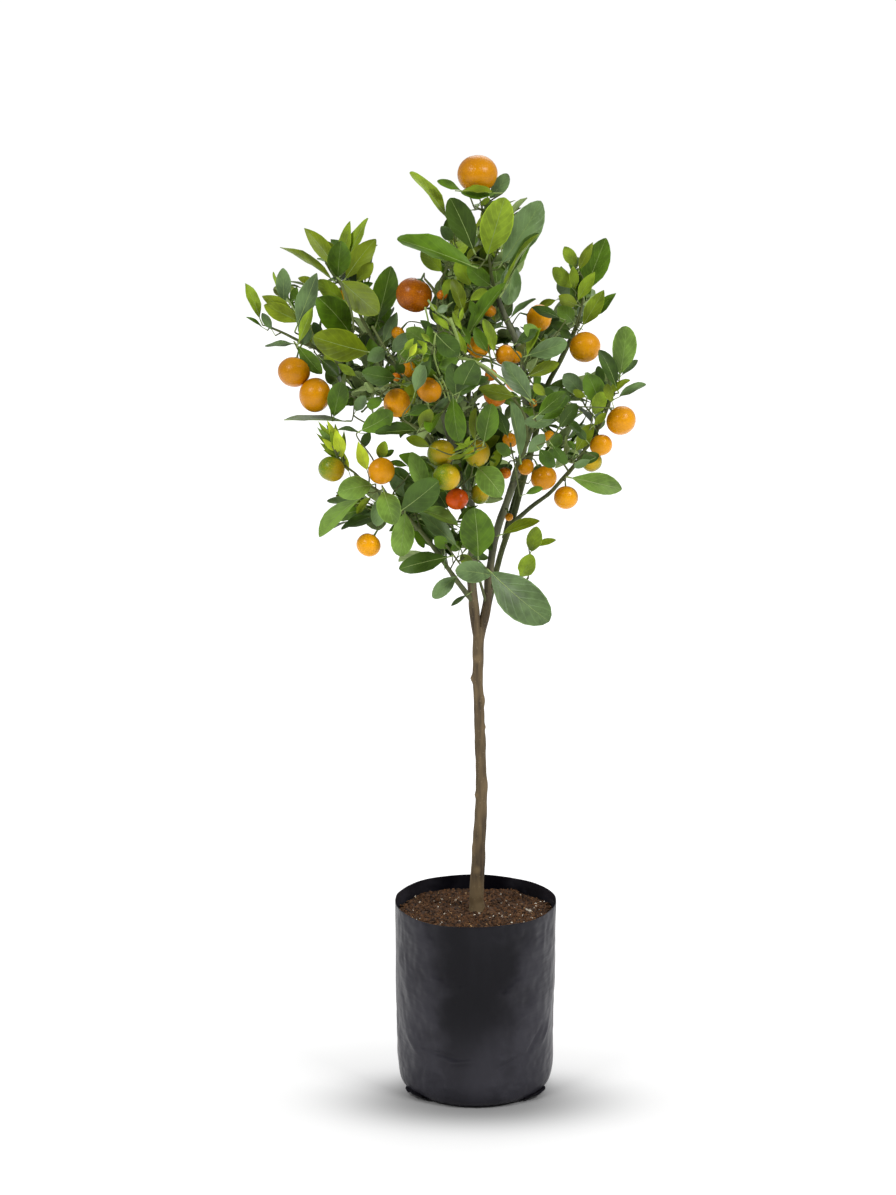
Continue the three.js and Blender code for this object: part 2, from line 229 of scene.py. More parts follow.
@dataclass
class Heap:
    """Many small shapes, in mm, that become one mesh, shaded as round or as flat faces."""

    points: list = field(default_factory=list)
    faces: list = field(default_factory=list)
    tones: list = field(default_factory=list)
    charts: list = field(default_factory=list)
    count: int = 0
    smooth: bool = True

    def add(self, points: Array, faces: Sequence[Array], tone: Array | float = 0.0,
            chart: Array | float = 0.0) -> None:
        """Adds copies of one shape.

        Args:
            points: shaped (copies, ..., 3); every copy numbers its points alike.
            faces: arrays of faces of one copy, each with its own number of corners.
            tone: one number, or one for each copy, or one for each point.
            chart: place of each point on its own pattern, in two columns.
        """
        copies = points.shape[0]
        flat = points.reshape(copies, -1, 3)
        stride = flat.shape[1]
        shift = self.count + np.arange(copies)[:, None, None] * stride
        self.faces += [(rows[None] + shift).reshape(-1, rows.shape[1]) for rows in faces]
        self.points.append(flat.reshape(-1, 3))
        tone = np.asarray(tone, float)
        tone = tone.reshape(copies if tone.size > 1 else 1, -1)
        self.tones.append(np.broadcast_to(tone, (copies, stride)).reshape(-1))
        self.charts.append(np.broadcast_to(chart, (copies, stride, 2)).reshape(-1, 2))
        self.count += copies * stride

    def add_rings(self, rings: Array, tone: Array | float = 0.0) -> None:
        """Adds shapes made of rings, (copies, rows, sides, 3), with a face over each end."""
        rows, sides = rings.shape[1:3]
        self.add(rings, [grid_faces(rows, sides, wrap=True), cap_faces(rows, sides)], tone)

    def mesh(self, name: str) -> bpy.types.Mesh:
        """Makes the Blender mesh, with its tones and its chart.

        Args:
            name: the mesh's name.

        Returns:
            The mesh.
        """
        mesh = bpy.data.meshes.new(name)
        corners = np.concatenate([rows.ravel() for rows in self.faces])
        sizes = np.concatenate([np.full(len(rows), rows.shape[1]) for rows in self.faces])
        mesh.vertices.add(self.count)
        mesh.vertices.foreach_set("co", (np.concatenate(self.points) * MM).astype(np.float32).ravel())
        mesh.loops.add(len(corners))
        mesh.loops.foreach_set("vertex_index", corners.astype(np.int32))
        mesh.polygons.add(len(sizes))
        mesh.polygons.foreach_set("loop_start", (np.cumsum(sizes) - sizes).astype(np.int32))
        mesh.polygons.foreach_set("use_smooth", np.full(len(sizes), self.smooth))
        tone = mesh.attributes.new("tone", "FLOAT", "POINT")
        tone.data.foreach_set("value", np.concatenate(self.tones).astype(np.float32))
        chart = mesh.uv_layers.new(name="Chart")
        chart.data.foreach_set("uv", np.concatenate(self.charts)[corners].astype(np.float32).ravel())
        mesh.update(calc_edges=True)
        mesh.validate()
        return mesh

    def make(self, name: str, material: Material, stands_for: Sequence[str] = ()) -> None:
        """Makes one finished piece of the object, at the origin, and ties it to the frame.

        Args:
            name: the piece's name.
            material: its finish.
            stands_for: the frame's nodes that it replaces.
        """
        piece = bpy.data.objects.new(name, self.mesh(name))
        bpy.context.scene.collection.objects.link(piece)
        piece.data.materials.append(material)
        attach(piece, BODY)
        if stands_for:
            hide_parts(*stands_for)
        LOG.info("%s: %d triangles", name, sum(len(rows) * (rows.shape[1] - 2) for rows in self.faces))


# ---------------- shaders


def paint(red: float, green: float, blue: float) -> Colour:
    """Screen colour, 0 to 255, as linear light: ((c + 0.055) / 1.055)^2.4, or c / 12.92 when dark."""
    shares = [value / 255 for value in (red, green, blue)]
    return tuple(c / 12.92 if c <= 0.04045 else ((c + 0.055) / 1.055) ** 2.4 for c in shares)


class Socket:
    """A shader value. Python's operators on it add the Math nodes that work it out."""

    def __init__(self, shader: "Shader", link: bpy.types.NodeSocket) -> None:
        """Wraps one output of a node."""
        self.shader = shader
        self.link = link

    def math(self, operation: str, *others: "Socket | float") -> "Socket":
        """A Math node of this value and the others."""
        values = dict(enumerate((self,) + others))
        return self.shader.node("Math", {"operation": operation}, values)["Value"]

    def __add__(self, other: "Socket | float") -> "Socket":
        """This value plus the other."""
        return self.math("ADD", other)

    def __sub__(self, other: "Socket | float") -> "Socket":
        """This value less the other."""
        return self.math("SUBTRACT", other)

    def __rsub__(self, other: float) -> "Socket":
        """The other less this value."""
        return self.math("MULTIPLY_ADD", -1.0, other)

    def __mul__(self, other: "Socket | float") -> "Socket":
        """This value times the other."""
        return self.math("MULTIPLY", other)

    def __pow__(self, other: float) -> "Socket":
        """This value to that power."""
        return self.math("POWER", other)

    __radd__ = __add__

    def within(self, low: float, high: float) -> "Socket":
        """0 where the value is below low, 1 above high, and smooth between."""
        inputs = {"Value": self, "From Min": low, "From Max": high}
        return self.shader.node("MapRange", {"interpolation_type": "SMOOTHSTEP"}, inputs)["Result"]


class Shader:
    """The nodes of a material, or of the world, in the making."""

    def __init__(self, name: str, kind: str = "materials") -> None:
        """Starts without a node.

        Args:
            name: the name of the material or the world.
            kind: the list in bpy.data that it joins.
        """
        self.owner = getattr(bpy.data, kind).new(name)
        self.owner.use_nodes = True
        self.tree = self.owner.node_tree
        self.tree.nodes.clear()

    def put(self, socket: bpy.types.NodeSocket, value: Socket | Colour | float) -> None:
        """Fills an input.

        Args:
            socket: the input.
            value: an output to link, a number, or a colour that gets an alpha of 1.
        """
        if isinstance(value, Socket):
            self.tree.links.new(value.link, socket)
        else:
            socket.default_value = (*value, 1.0) if socket.type == "RGBA" else value

    def node(self, kind: str, settings: dict | None = None, inputs: dict | None = None) -> dict:
        """Adds a node.

        Args:
            kind: its type, without the ShaderNode in front.
            settings: its own settings, set first.
            inputs: values, or sockets to link, by the names or numbers of its inputs.

        Returns:
            Its outputs by name, each as a Socket.
        """
        node = self.tree.nodes.new("ShaderNode" + kind)
        for name, value in (settings or {}).items():
            setattr(node, name, value)
        for name, value in (inputs or {}).items():
            self.put(node.inputs[name], value)
        return {output.name: Socket(self, output) for output in node.outputs if output.enabled}

    def place(self, stretch: Place = (1.0, 1.0, 1.0)) -> Socket:
        """The object's own coordinates, each axis times its stretch."""
        here = self.node("TexCoord")["Object"]
        return self.node("VectorMath", {"operation": "MULTIPLY"}, {0: here, 1: stretch})["Vector"]

    def noise(self, cells_per_metre: float, detail: float = 3.0, stretch: Place = (1.0, 1.0, 1.0)) -> Socket:
        """Soft cloudy noise, about 0.3 to 0.7."""
        inputs = {"Vector": self.place(stretch), "Scale": cells_per_metre, "Detail": detail}
        return self.node("TexNoise", None, inputs)["Fac"]

    def specks(self, cells_per_metre: float) -> Socket:
        """Distance from the nearest of many scattered points, in cells."""
        return self.node("TexVoronoi", None, {"Vector": self.place(), "Scale": cells_per_metre})["Distance"]

    def tone(self) -> Socket:
        """The tone that the mesh keeps for each point."""
        return self.node("Attribute", {"attribute_name": "tone"})["Fac"]

    def mix(self, amount: Socket, low: Socket | Colour, high: Socket | Colour) -> Socket:
        """Mixes two colours.

        Args:
            amount: from 0, all low, to 1, all high.
            low: the first colour.
            high: the second colour.

        Returns:
            The mixed colour.
        """
        mixer = self.tree.nodes.new("ShaderNodeMix")
        mixer.data_type = "RGBA"
        by_kind = {socket.identifier: socket for socket in mixer.inputs}
        for kind, value in (("Factor_Float", amount), ("A_Color", low), ("B_Color", high)):
            self.put(by_kind[kind], value)
        return Socket(self, next(socket for socket in mixer.outputs if socket.identifier == "Result_Color"))

    def bump(self, height: Socket, depth: float, strength: float = 1.0) -> Socket:
        """Normal of a surface whose height goes up by depth, in metres, as the value goes from 0 to 1."""
        return self.node("Bump", None, {"Height": height, "Distance": depth, "Strength": strength})["Normal"]

    def finish(self, **sockets: Socket | Colour | float) -> Material:
        """Ends the material in a Principled shader.

        Args:
            sockets: values or links of the shader's sockets, an underscore standing for a space.

        Returns:
            The material.
        """
        inputs = {name.replace("_", " "): value for name, value in sockets.items()}
        surface = self.node("BsdfPrincipled", None, inputs)["BSDF"]
        self.node("OutputMaterial", None, {"Surface": surface})
        return self.owner


@dataclass(frozen=True)
class FilmFinish:
    """Black polythene film with fine wrinkles and random pale scuffs, paler on its side gussets and at
    its foot, where a reflection is painted in.

    The foot's painted reflection fades out between two heights, and a gusset's begins between two
    distances from the middle, all in metres.
    """

    name: str = "film"
    colour: Colour = paint(9, 8, 15)
    # colour of the random scuffs and of the painted reflection on the gussets and the foot
    dust_and_reflection: Colour = paint(57, 56, 63)
    # heights where the foot's painted reflection fades out, and distances where the gussets' begins
    foot: Span = (0.02, 0.13)
    gusset: Span = (0.052, 0.1)

    def material(self) -> Material:
        """Builds the node material.

        Returns:
            The material.
        """
        shader = Shader(self.name)
        cloud = shader.noise(22.0, 4.0, (1.0, 1.0, 0.35)).within(0.38, 0.68)
        wrinkle = shader.noise(34.0, 2.0, (1.0, 1.0, 0.9))
        ripple = shader.noise(60.0, 2.0, (0.5, 0.5, 1.6))
        place = shader.node("SeparateXYZ", None, {0: shader.place()})
        # painted reflection: paler towards the foot
        low = 1 - place["Z"].within(*self.foot)
        # painted reflection: paler on the side gussets, away from the middle in x
        gusset = (place["X"].math("ABSOLUTE") + wrinkle * 0.07).within(*self.gusset)
        # the cloud gives random scuffs; the foot and gusset terms add the painted reflection
        scuff_and_reflection = (cloud * 0.25 + low * 0.6 + gusset * 0.5).within(0.0, 1.0)
        return shader.finish(
            Base_Color=shader.mix(scuff_and_reflection, self.colour, self.dust_and_reflection),
            Roughness=cloud * 0.1 + 0.3,
            Specular_IOR_Level=0.16,
            Normal=shader.bump(wrinkle * (0.3 + gusset * 0.8) + ripple * gusset * 0.3, 0.005, 0.9),
        )


@dataclass(frozen=True)
class SoilFinish:
    """Coir and bark crumbs: dark and light browns that change from crumb to crumb."""

    name: str
    dark: Colour = paint(34, 20, 10)
    light: Colour = paint(110, 74, 42)

    def material(self) -> Material:
        """Builds the node material.

        Returns:
            The material.
        """
        shader = Shader(self.name)
        grain = shader.noise(420.0, 4.0)
        amount = (grain.within(0.35, 0.7) * 0.5 + shader.tone() * 0.6).within(0.0, 1.0)
        return shader.finish(
            Base_Color=shader.mix(amount, self.dark, self.light),
            Roughness=0.92,
            Normal=shader.bump(grain, 0.0012, 0.7),
        )


@dataclass(frozen=True)
class GritFinish:
    """White volcanic grit among the crumbs."""

    name: str = "grit"
    colour: Colour = paint(236, 228, 212)
    shade: Colour = paint(196, 184, 164)

    def material(self) -> Material:
        """Builds the node material.

        Returns:
            The material.
        """
        shader = Shader(self.name)
        grain = shader.noise(900.0, 3.0)
        return shader.finish(
            Base_Color=shader.mix(grain.within(0.3, 0.6), self.shade, self.colour),
            Roughness=0.8,
            Normal=shader.bump(grain, 0.0004, 0.6),
        )


@dataclass(frozen=True)
class BarkFinish:
    """Bark: long streaks of two colours, pale corky specks, fine cracks along the wood.

    Between the two heights, in metres, it turns into the younger wood's two colours.
    """

    name: str
    dark: Colour
    light: Colour
    speck: Colour
    specks: float = 0.5
    young_dark: Colour = paint(58, 62, 44)
    young_light: Colour = paint(116, 120, 92)
    turns: Span = (0.5, 0.6)

    def material(self) -> Material:
        """Builds the node material.

        Returns:
            The material.
        """
        shader = Shader(self.name)
        streak = shader.noise(210.0, 5.0, (1.0, 1.0, 0.12))
        patch = shader.noise(28.0, 2.0)
        amount = (streak * 0.9 + patch * 0.7 + shader.tone() - 0.3).within(0.25, 0.85)
        height = shader.node("SeparateXYZ", None, {0: shader.place()})["Z"]
        old = shader.mix(amount, self.dark, self.light)
        young = shader.mix(amount, self.young_dark, self.young_light)
        base = shader.mix(height.within(*self.turns), old, young)
        cork = (1 - shader.specks(230.0).within(0.10, 0.24)) * self.specks
        return shader.finish(
            Base_Color=shader.mix(cork, base, self.speck),
            Roughness=0.78,
            Normal=shader.bump(streak + cork * 0.5, 0.0011, 0.8),
        )


@dataclass(frozen=True)
class LeafFinish:
    """Leaf blade: one colour with a little change of tone, side veins, a pale margin and a waxy gloss."""

    name: str
    colour: Colour
    roughness: float = 0.42
    gloss: float = 0.22
    veins: float = 9.0
    slant: float = 5.0
    darkest: float = 0.55
    lightest: float = 1.65

    def material(self) -> Material:
        """Builds the node material.

        With u across and v along the blade, side veins lie where the fraction of
        veins x v - slant x |u - 0.5| is near a half.

        Returns:
            The material.
        """
        shader = Shader(self.name)
        chart = shader.node("SeparateXYZ", None, {0: shader.node("UVMap", {"uv_map": "Chart"})["UV"]})
        from_rib = (chart["X"] - 0.5).math("ABSOLUTE")
        phase = (chart["Y"] * self.veins - from_rib * self.slant).math("FRACT")
        vein = 1 - (phase - 0.5).math("ABSOLUTE").within(0.03, 0.15)
        mottle = shader.noise(70.0, 3.0).within(0.3, 0.7)
        margin = from_rib.within(0.445, 0.5)
        amount = (mottle * 0.35 + shader.tone() * 0.65 + vein * 0.12 + margin * 0.5).within(0.0, 1.0)
        dark = tuple(value * self.darkest for value in self.colour)
        light = tuple(min(1.0, value * self.lightest) for value in self.colour)
        return shader.finish(
            Base_Color=shader.mix(amount, dark, light),
            Roughness=self.roughness,
            Specular_IOR_Level=self.gloss,
            Normal=shader.bump(vein, 0.00025, 0.3),
        )


@dataclass(frozen=True)
class StalkFinish:
    """Green stalks and midribs: plain, softly glossy, a little streaked."""

    name: str
    colour: Colour
    light: Colour

    def material(self) -> Material:
        """Builds the node material.

        Returns:
            The material.
        """
        shader = Shader(self.name)
        amount = (shader.noise(120.0, 2.0) * 0.5 + shader.tone() * 0.7).within(0.15, 0.85)
        return shader.finish(Base_Color=shader.mix(amount, self.colour, self.light), Roughness=0.5)


@dataclass(frozen=True)
class FruitFinish:
    """Citrus peel: two colours dealt out by tone, fine paler pits for oil glands, and a soft wax gloss."""

    name: str
    low: Colour
    high: Colour
    roughness: float = 0.26
    gland: float = 1.25

    def material(self) -> Material:
        """Builds the node material.

        Returns:
            The material.
        """
        shader = Shader(self.name)
        cloud = shader.noise(60.0, 2.0) - 0.5
        glands = shader.specks(720.0).within(0.12, 0.55)
        base = shader.mix((shader.tone() + cloud * 0.7).within(0.0, 1.0), self.low, self.high)
        pale = tuple(min(1.0, value * self.gland) for value in self.high)
        return shader.finish(
            Base_Color=shader.mix((1 - glands) * 0.3, base, pale),
            Roughness=self.roughness,
            Specular_IOR_Level=0.26,
            Normal=shader.bump(glands, 0.0003, 0.4),
        )


# ---------------- camera and studio


@dataclass(frozen=True)
class Sight:
    """The camera, in mm, with its picture units, which run right and down from a corner."""

    place: Place = (-28.8, -2500.0, 1046.0)
    slope: float = math.radians(11.77)
    focal: float = 2497.0
    width: float = 896.0
    height: float = 1195.0
    sensor: float = 36.0
    farthest: float = 100_000.0

    def to_frame(self, picture: Array, depth: Array) -> Array:
        """Where lines of sight cross planes of constant y.

        A line runs along (a, cos s + b sin s, b cos s - sin s), with a and b the picture place
        from its middle over the focal length.

        Args:
            picture: places in the picture, shaped (n, 2).
            depth: y of each plane.

        Returns:
            Places in the frame, shaped (n, 3).
        """
        a = (picture[:, 0] - self.width / 2) / self.focal
        b = (self.height / 2 - picture[:, 1]) / self.focal
        cosine, sine = math.cos(self.slope), math.sin(self.slope)
        line = np.stack([a, cosine + b * sine, b * cosine - sine], axis=1)
        return np.asarray(self.place) + line * ((depth - self.place[1]) / line[:, 1])[:, None]

    def to_picture(self, points: Array) -> Array:
        """Picture places of points: the middle plus focal length x offset / distance.

        Args:
            points: places in the frame, shaped (..., 3).

        Returns:
            Places right and down, shaped (..., 2).
        """
        x, y, z = np.moveaxis(points - np.asarray(self.place), -1, 0)
        ahead = y * math.cos(self.slope) - z * math.sin(self.slope)
        rise = y * math.sin(self.slope) + z * math.cos(self.slope)
        right = self.width / 2 + self.focal * x / ahead
        down = self.height / 2 - self.focal * rise / ahead
        return np.stack([right, down], axis=-1)

    def build(self) -> None:
        """Adds the camera to the scene."""
        data = bpy.data.cameras.new("camera")
        data.sensor_width = self.sensor
        data.lens = self.focal / self.height * self.sensor
        data.clip_end = self.farthest * MM
        camera = bpy.data.objects.new("camera", data)
        camera.location = [value * MM for value in self.place]
        camera.rotation_euler = (math.pi / 2 - self.slope, 0.0, 0.0)
        bpy.context.scene.collection.objects.link(camera)
        bpy.context.scene.camera = camera


@dataclass(frozen=True)
class Lamp:
    """A soft square lamp, in mm, that looks at a point."""

    name: str
    place: Place
    target: Place
    size: float
    power: float

    def build(self) -> None:
        """Adds the lamp to the scene."""
        data = bpy.data.lights.new(self.name, "AREA")
        data.size = self.size * MM
        data.energy = self.power
        lamp = bpy.data.objects.new(self.name, data)
        lamp.location = [value * MM for value in self.place]
        aim = np.subtract(self.target, self.place)
        level = math.hypot(aim[0], aim[1])
        lamp.rotation_euler = (math.atan2(level, -aim[2]), 0.0, math.atan2(aim[1], aim[0]) - math.pi / 2)
        bpy.context.scene.collection.objects.link(lamp)


@dataclass(frozen=True)
class Studio:
    """White floor, white surround and soft lamps.

    The surround's light goes from its front to its back strength between two values of a
    direction's y. The floor's glow grows in three rings round a point in front of the bag's
    middle, each given by two distances in metres, on a floor stretched in depth, and a share.
    The darker floor left round that point, where the glow has not grown, is a painted shadow.
    """

    floor_half: float = 9000.0
    floor_colour: float = 0.42
    floor_glowing: float = 0.44
    floor_stretch: Place = (1.0, 1.97, 1.0)
    glow_middle: Place = (0.0, -0.106, 0.0)
    glow_rings: tuple[Place, ...] = ((0.05, 0.27, 0.64), (0.2, 0.42, 0.12), (0.5, 2.5, 0.24))
    surround_seen: float = 1.02
    surround_front: float = 0.14
    surround_back: float = 0.5
    surround_turns: Span = (-0.9, 0.7)
    lamps: tuple[Lamp, ...] = (
        Lamp("left", (-1700.0, -1650.0, 2600.0), (0.0, 0.0, 650.0), 800.0, 36.0),
        Lamp("right", (1800.0, -1500.0, 2500.0), (0.0, 0.0, 650.0), 800.0, 44.0),
        Lamp("back", (300.0, 1900.0, 2300.0), (0.0, 0.0, 600.0), 1400.0, 14.0),
    )

    def build(self) -> None:
        """Adds the floor, the surround and the lamps."""
        bpy.context.scene.view_settings.view_transform = "Standard"
        self.add_surround()
        self.add_floor()
        for lamp in self.lamps:
            lamp.build()

    def add_surround(self) -> None:
        """White where the camera looks; as a light, dim in front of the object and brighter behind it."""
        shader = Shader("surround", "worlds")
        bpy.context.scene.world = shader.owner
        ahead = shader.node("SeparateXYZ", None, {0: shader.node("TexCoord")["Generated"]})["Y"]
        ranges = (*self.surround_turns, self.surround_front, self.surround_back)
        inputs = dict(zip(("From Min", "From Max", "To Min", "To Max"), ranges), Value=ahead)
        glow, seen = (
            shader.node("Background", None, {"Color": (1.0, 1.0, 1.0), "Strength": strength})["Background"]
            for strength in (shader.node("MapRange", None, inputs)["Result"], self.surround_seen)
        )
        by_camera = shader.node("LightPath")["Is Camera Ray"]
        surface = shader.node("MixShader", None, {0: by_camera, 1: glow, 2: seen})["Shader"]
        shader.node("OutputWorld", None, {"Surface": surface})

    def add_floor(self) -> None:
        """A wide square that glows away from the bag, so that it is white far off. Round a point in front
        of the bag, where it does not glow, its darker floor is a painted shadow over the real one.

        Over the first ring the glow is eased, 1 - (1 - s)^2, so that the painted shadow's edge stays soft.
        """
        half = self.floor_half * MM
        mesh = bpy.data.meshes.new("floor")
        corners = [(-half, -half, 0), (half, -half, 0), (half, half, 0), (-half, half, 0)]
        mesh.from_pydata(corners, [], [(0, 1, 2, 3)])
        floor = bpy.data.objects.new("floor", mesh)
        bpy.context.scene.collection.objects.link(floor)
        shader = Shader("floor")
        inputs = {0: shader.place(self.floor_stretch), 1: self.glow_middle}
        away = shader.node("VectorMath", {"operation": "DISTANCE"}, inputs)["Value"]
        near, middle, far = (away.within(start, end) for start, end, _ in self.glow_rings)
        shares = [share for _, _, share in self.glow_rings]
        # painted shadow: the floor's glow, and so its brightness, grows with the distance from the middle
        glow = (1 - (1 - near) ** 2.0) * shares[0] + middle * shares[1] + far * shares[2]
        mesh.materials.append(shader.finish(
            Base_Color=shader.mix(glow, (self.floor_colour,) * 3, (self.floor_glowing,) * 3),
            Roughness=1.0,
            Specular_IOR_Level=0.0,
            Emission_Color=shader.mix(glow, (0.0, 0.0, 0.0), (1.0, 1.0, 1.0)),
            Emission_Strength=1.0,
        ))


# ---------------- bag and soil


@dataclass(frozen=True)
class Crease:
    """A ridge in the film: a line through an angle and a height, in degrees and mm."""

    angle: float
    height: float
    length: float
    slope: float
    width: float
    lift: float


@dataclass(frozen=True)
class GrowBag:
    """A gusseted bag of thin film, filled round: bottom, wall, rim and four tucked corners."""

    profile: tuple = (
        (30, 0.3), (60, 0), (69, 0.2), (73.5, 1.8), (77, 4.2), (80.2, 11), (82.2, 26), (83.2, 60),
        (83.6, 100), (84.2, 150), (84.8, 196),
    )
    top: float = 200.0
    film: float = 0.7
    inside_from: float = 198.5
    inside_to: float = 183.0
    outline_step: float = 1.8
    rim_rows: int = 7
    inside_rows: int = 10
    columns: int = 240
    buckles: Grain = Grain(42.0, 0.85, 0, (1.0, 1.0, 0.55))
    wrinkles: Grain = Grain(15.0, 1.0, 9, (0.8, 0.8, 0.9), 2)
    wrinkle_least: float = 0.12
    wrinkle_more: float = 0.5
    patches: Grain = Grain(40.0, 1.0, 12, layers=1)
    patch_edge: Span = (-0.3, 0.5)
    flat_foot: Span = (3.0, 26.0)
    rim_wave: Grain = Grain(0.6, 1.6, 5, layers=1)
    rim_lift: float = 0.8
    rim_from: float = 150.0
    ear_angles: tuple = (-35.0, 35.0, 145.0, -145.0)
    ear_half: float = 24.0
    ear_rows: int = 17
    ear_columns: int = 8
    ear_foot: float = 66.0
    ear_reach: float = 17.5
    ear_height: float = 1.6
    ear_lift: float = 5.5
    ear_cell: float = 6.0
    ear_crumple: float = 1.7
    creases: tuple[Crease, ...] = (
        Crease(-34, 172, 60, 86, 3.4, 0.5), Crease(-149, 150, 90, 93, 3.6, 0.5),
        Crease(-44, 66, 34, 50, 2.4, -1.8), Crease(-30, 72, 30, 55, 2.8, 1.4),
        Crease(-118, 60, 44, -8, 2.2, -1.7), Crease(-100, 53, 30, 6, 2.6, 1.2),
        Crease(-66, 50, 28, 22, 2.4, -1.6), Crease(-128, 128, 30, -62, 4.0, 0.8),
        Crease(-62, 132, 34, 40, 4.0, 0.7), Crease(-142, 60, 26, -40, 2.6, 1.4),
        Crease(-57, 96, 30, 30, 3.2, 0.6), Crease(-110, 100, 30, 70, 5.0, 0.8),
        Crease(40, 70, 40, 35, 3.0, 1.0), Crease(95, 120, 46, -30, 3.4, 0.9),
        Crease(150, 66, 40, 20, 3.0, -1.0), Crease(75, 50, 36, 10, 3.0, 0.9),
        Crease(120, 160, 60, 85, 2.6, 0.7), Crease(10, 120, 90, 88, 2.4, 0.7),
    )

    def wall(self) -> tuple[Array, Array]:
        """The film's line: out over the bottom, up, over the rim and down inside.

        Returns:
            Its radii and its heights.
        """
        outline = smooth_path([(r, z, 0, 0) for r, z in self.profile], self.outline_step)[:, :2]
        arc = np.radians(np.linspace(0, 180, self.rim_rows))
        half = self.film / 2
        rim_radius = self.profile[-1][0] - half
        rim = np.stack([rim_radius + half * np.cos(arc), self.top - half + half * np.sin(arc)], axis=1)
        down = np.linspace(self.inside_from, self.inside_to, self.inside_rows)
        inner = np.stack([np.full_like(down, rim_radius - half), down], axis=1)
        return np.concatenate([outline, rim, inner]).T

    def relief(self, angle: Array, height: Array) -> Array:
        """How far the film stands out: broad buckles, patches of wrinkles towards x, and each crease.

        A crease of half width w gives lift x exp(-(across / w)^2 - (along / half its length)^4), with
        across and along measured on the unrolled wall.

        Args:
            angle: angles round the bag, in radians.
            height: heights above the floor.

        Returns:
            Lifts in mm, in the common shape of the two.
        """
        radius = self.profile[-1][0]
        place = round_points(radius, angle, height)
        patches = smooth_step(self.patches.at(place), *self.patch_edge)
        strength = self.wrinkle_least + self.wrinkle_more * patches * np.abs(np.cos(angle))
        out = self.buckles.at(place) + self.wrinkles.at(place) * strength
        turn = TURN * radius
        for crease in self.creases:
            aside = radius * angle - math.radians(crease.angle) * radius
            aside = (aside + turn / 2) % turn - turn / 2
            above = height - crease.height
            slope = math.radians(crease.slope)
            along = aside * math.cos(slope) + above * math.sin(slope)
            off = above * math.cos(slope) - aside * math.sin(slope)
            out += crease.lift * np.exp(-((off / crease.width) ** 2) - (along / crease.length * 2) ** 4)
        return out * smooth_step(height, *self.flat_foot)

    def ears(self, heap: Heap) -> None:
        """Adds the folded corners: crescents of crumpled film that lie on the floor.

        At share s from -1 to 1 of its width and o from 0 to 1 outwards, a corner's radius is
        foot + reach x cos(s pi / 2)^0.6 x o, and it is lifted by o^2 (1 - |s|).

        Args:
            heap: what they are added to.
        """
        share = np.linspace(-1, 1, self.ear_rows)[:, None]
        out = np.linspace(0, 1, self.ear_columns)[None, :]
        for index, centre in enumerate(self.ear_angles):
            reach = self.ear_foot + self.ear_reach * np.cos(share * math.pi / 2) ** 0.6 * out
            layer = round_points(reach, np.radians(centre + self.ear_half * share), self.ear_height)
            crumple = Grain(self.ear_cell, self.ear_crumple, 31 + index).at(layer) * out
            lift = layer + UP * (crumple + self.ear_lift * out**2 * (1 - np.abs(share)))[..., None]
            sheet = np.stack([lift, (lift - UP * self.film)[::-1]])
            heap.add(sheet[:, ::-1], [grid_faces(self.ear_rows, self.ear_columns, wrap=False)])

    def build(self) -> None:
        """Makes the bag's film."""
        radius, height = (row[:, None] for row in self.wall())
        angle = ring_angles(self.columns)
        out = radius + self.relief(angle, height)
        wave = self.rim_wave.at(round_points(1.0, angle, 0.0))
        height = height + (wave + self.rim_lift) * smooth_step(height, self.rim_from, self.top)
        heap = Heap()
        heap.add_rings(round_points(out, angle, height)[None])
        self.ears(heap)
        heap.make("bag_film", FilmFinish().material(), ["grow_bag"])


@dataclass(frozen=True)
class Stones:
    """Small uneven stones of one piece: how many, their radii in mm, how slim, and whether of many tones."""

    piece: str
    count: int
    low: float
    high: float
    slim: float = 1.0
    many_tones: bool = True


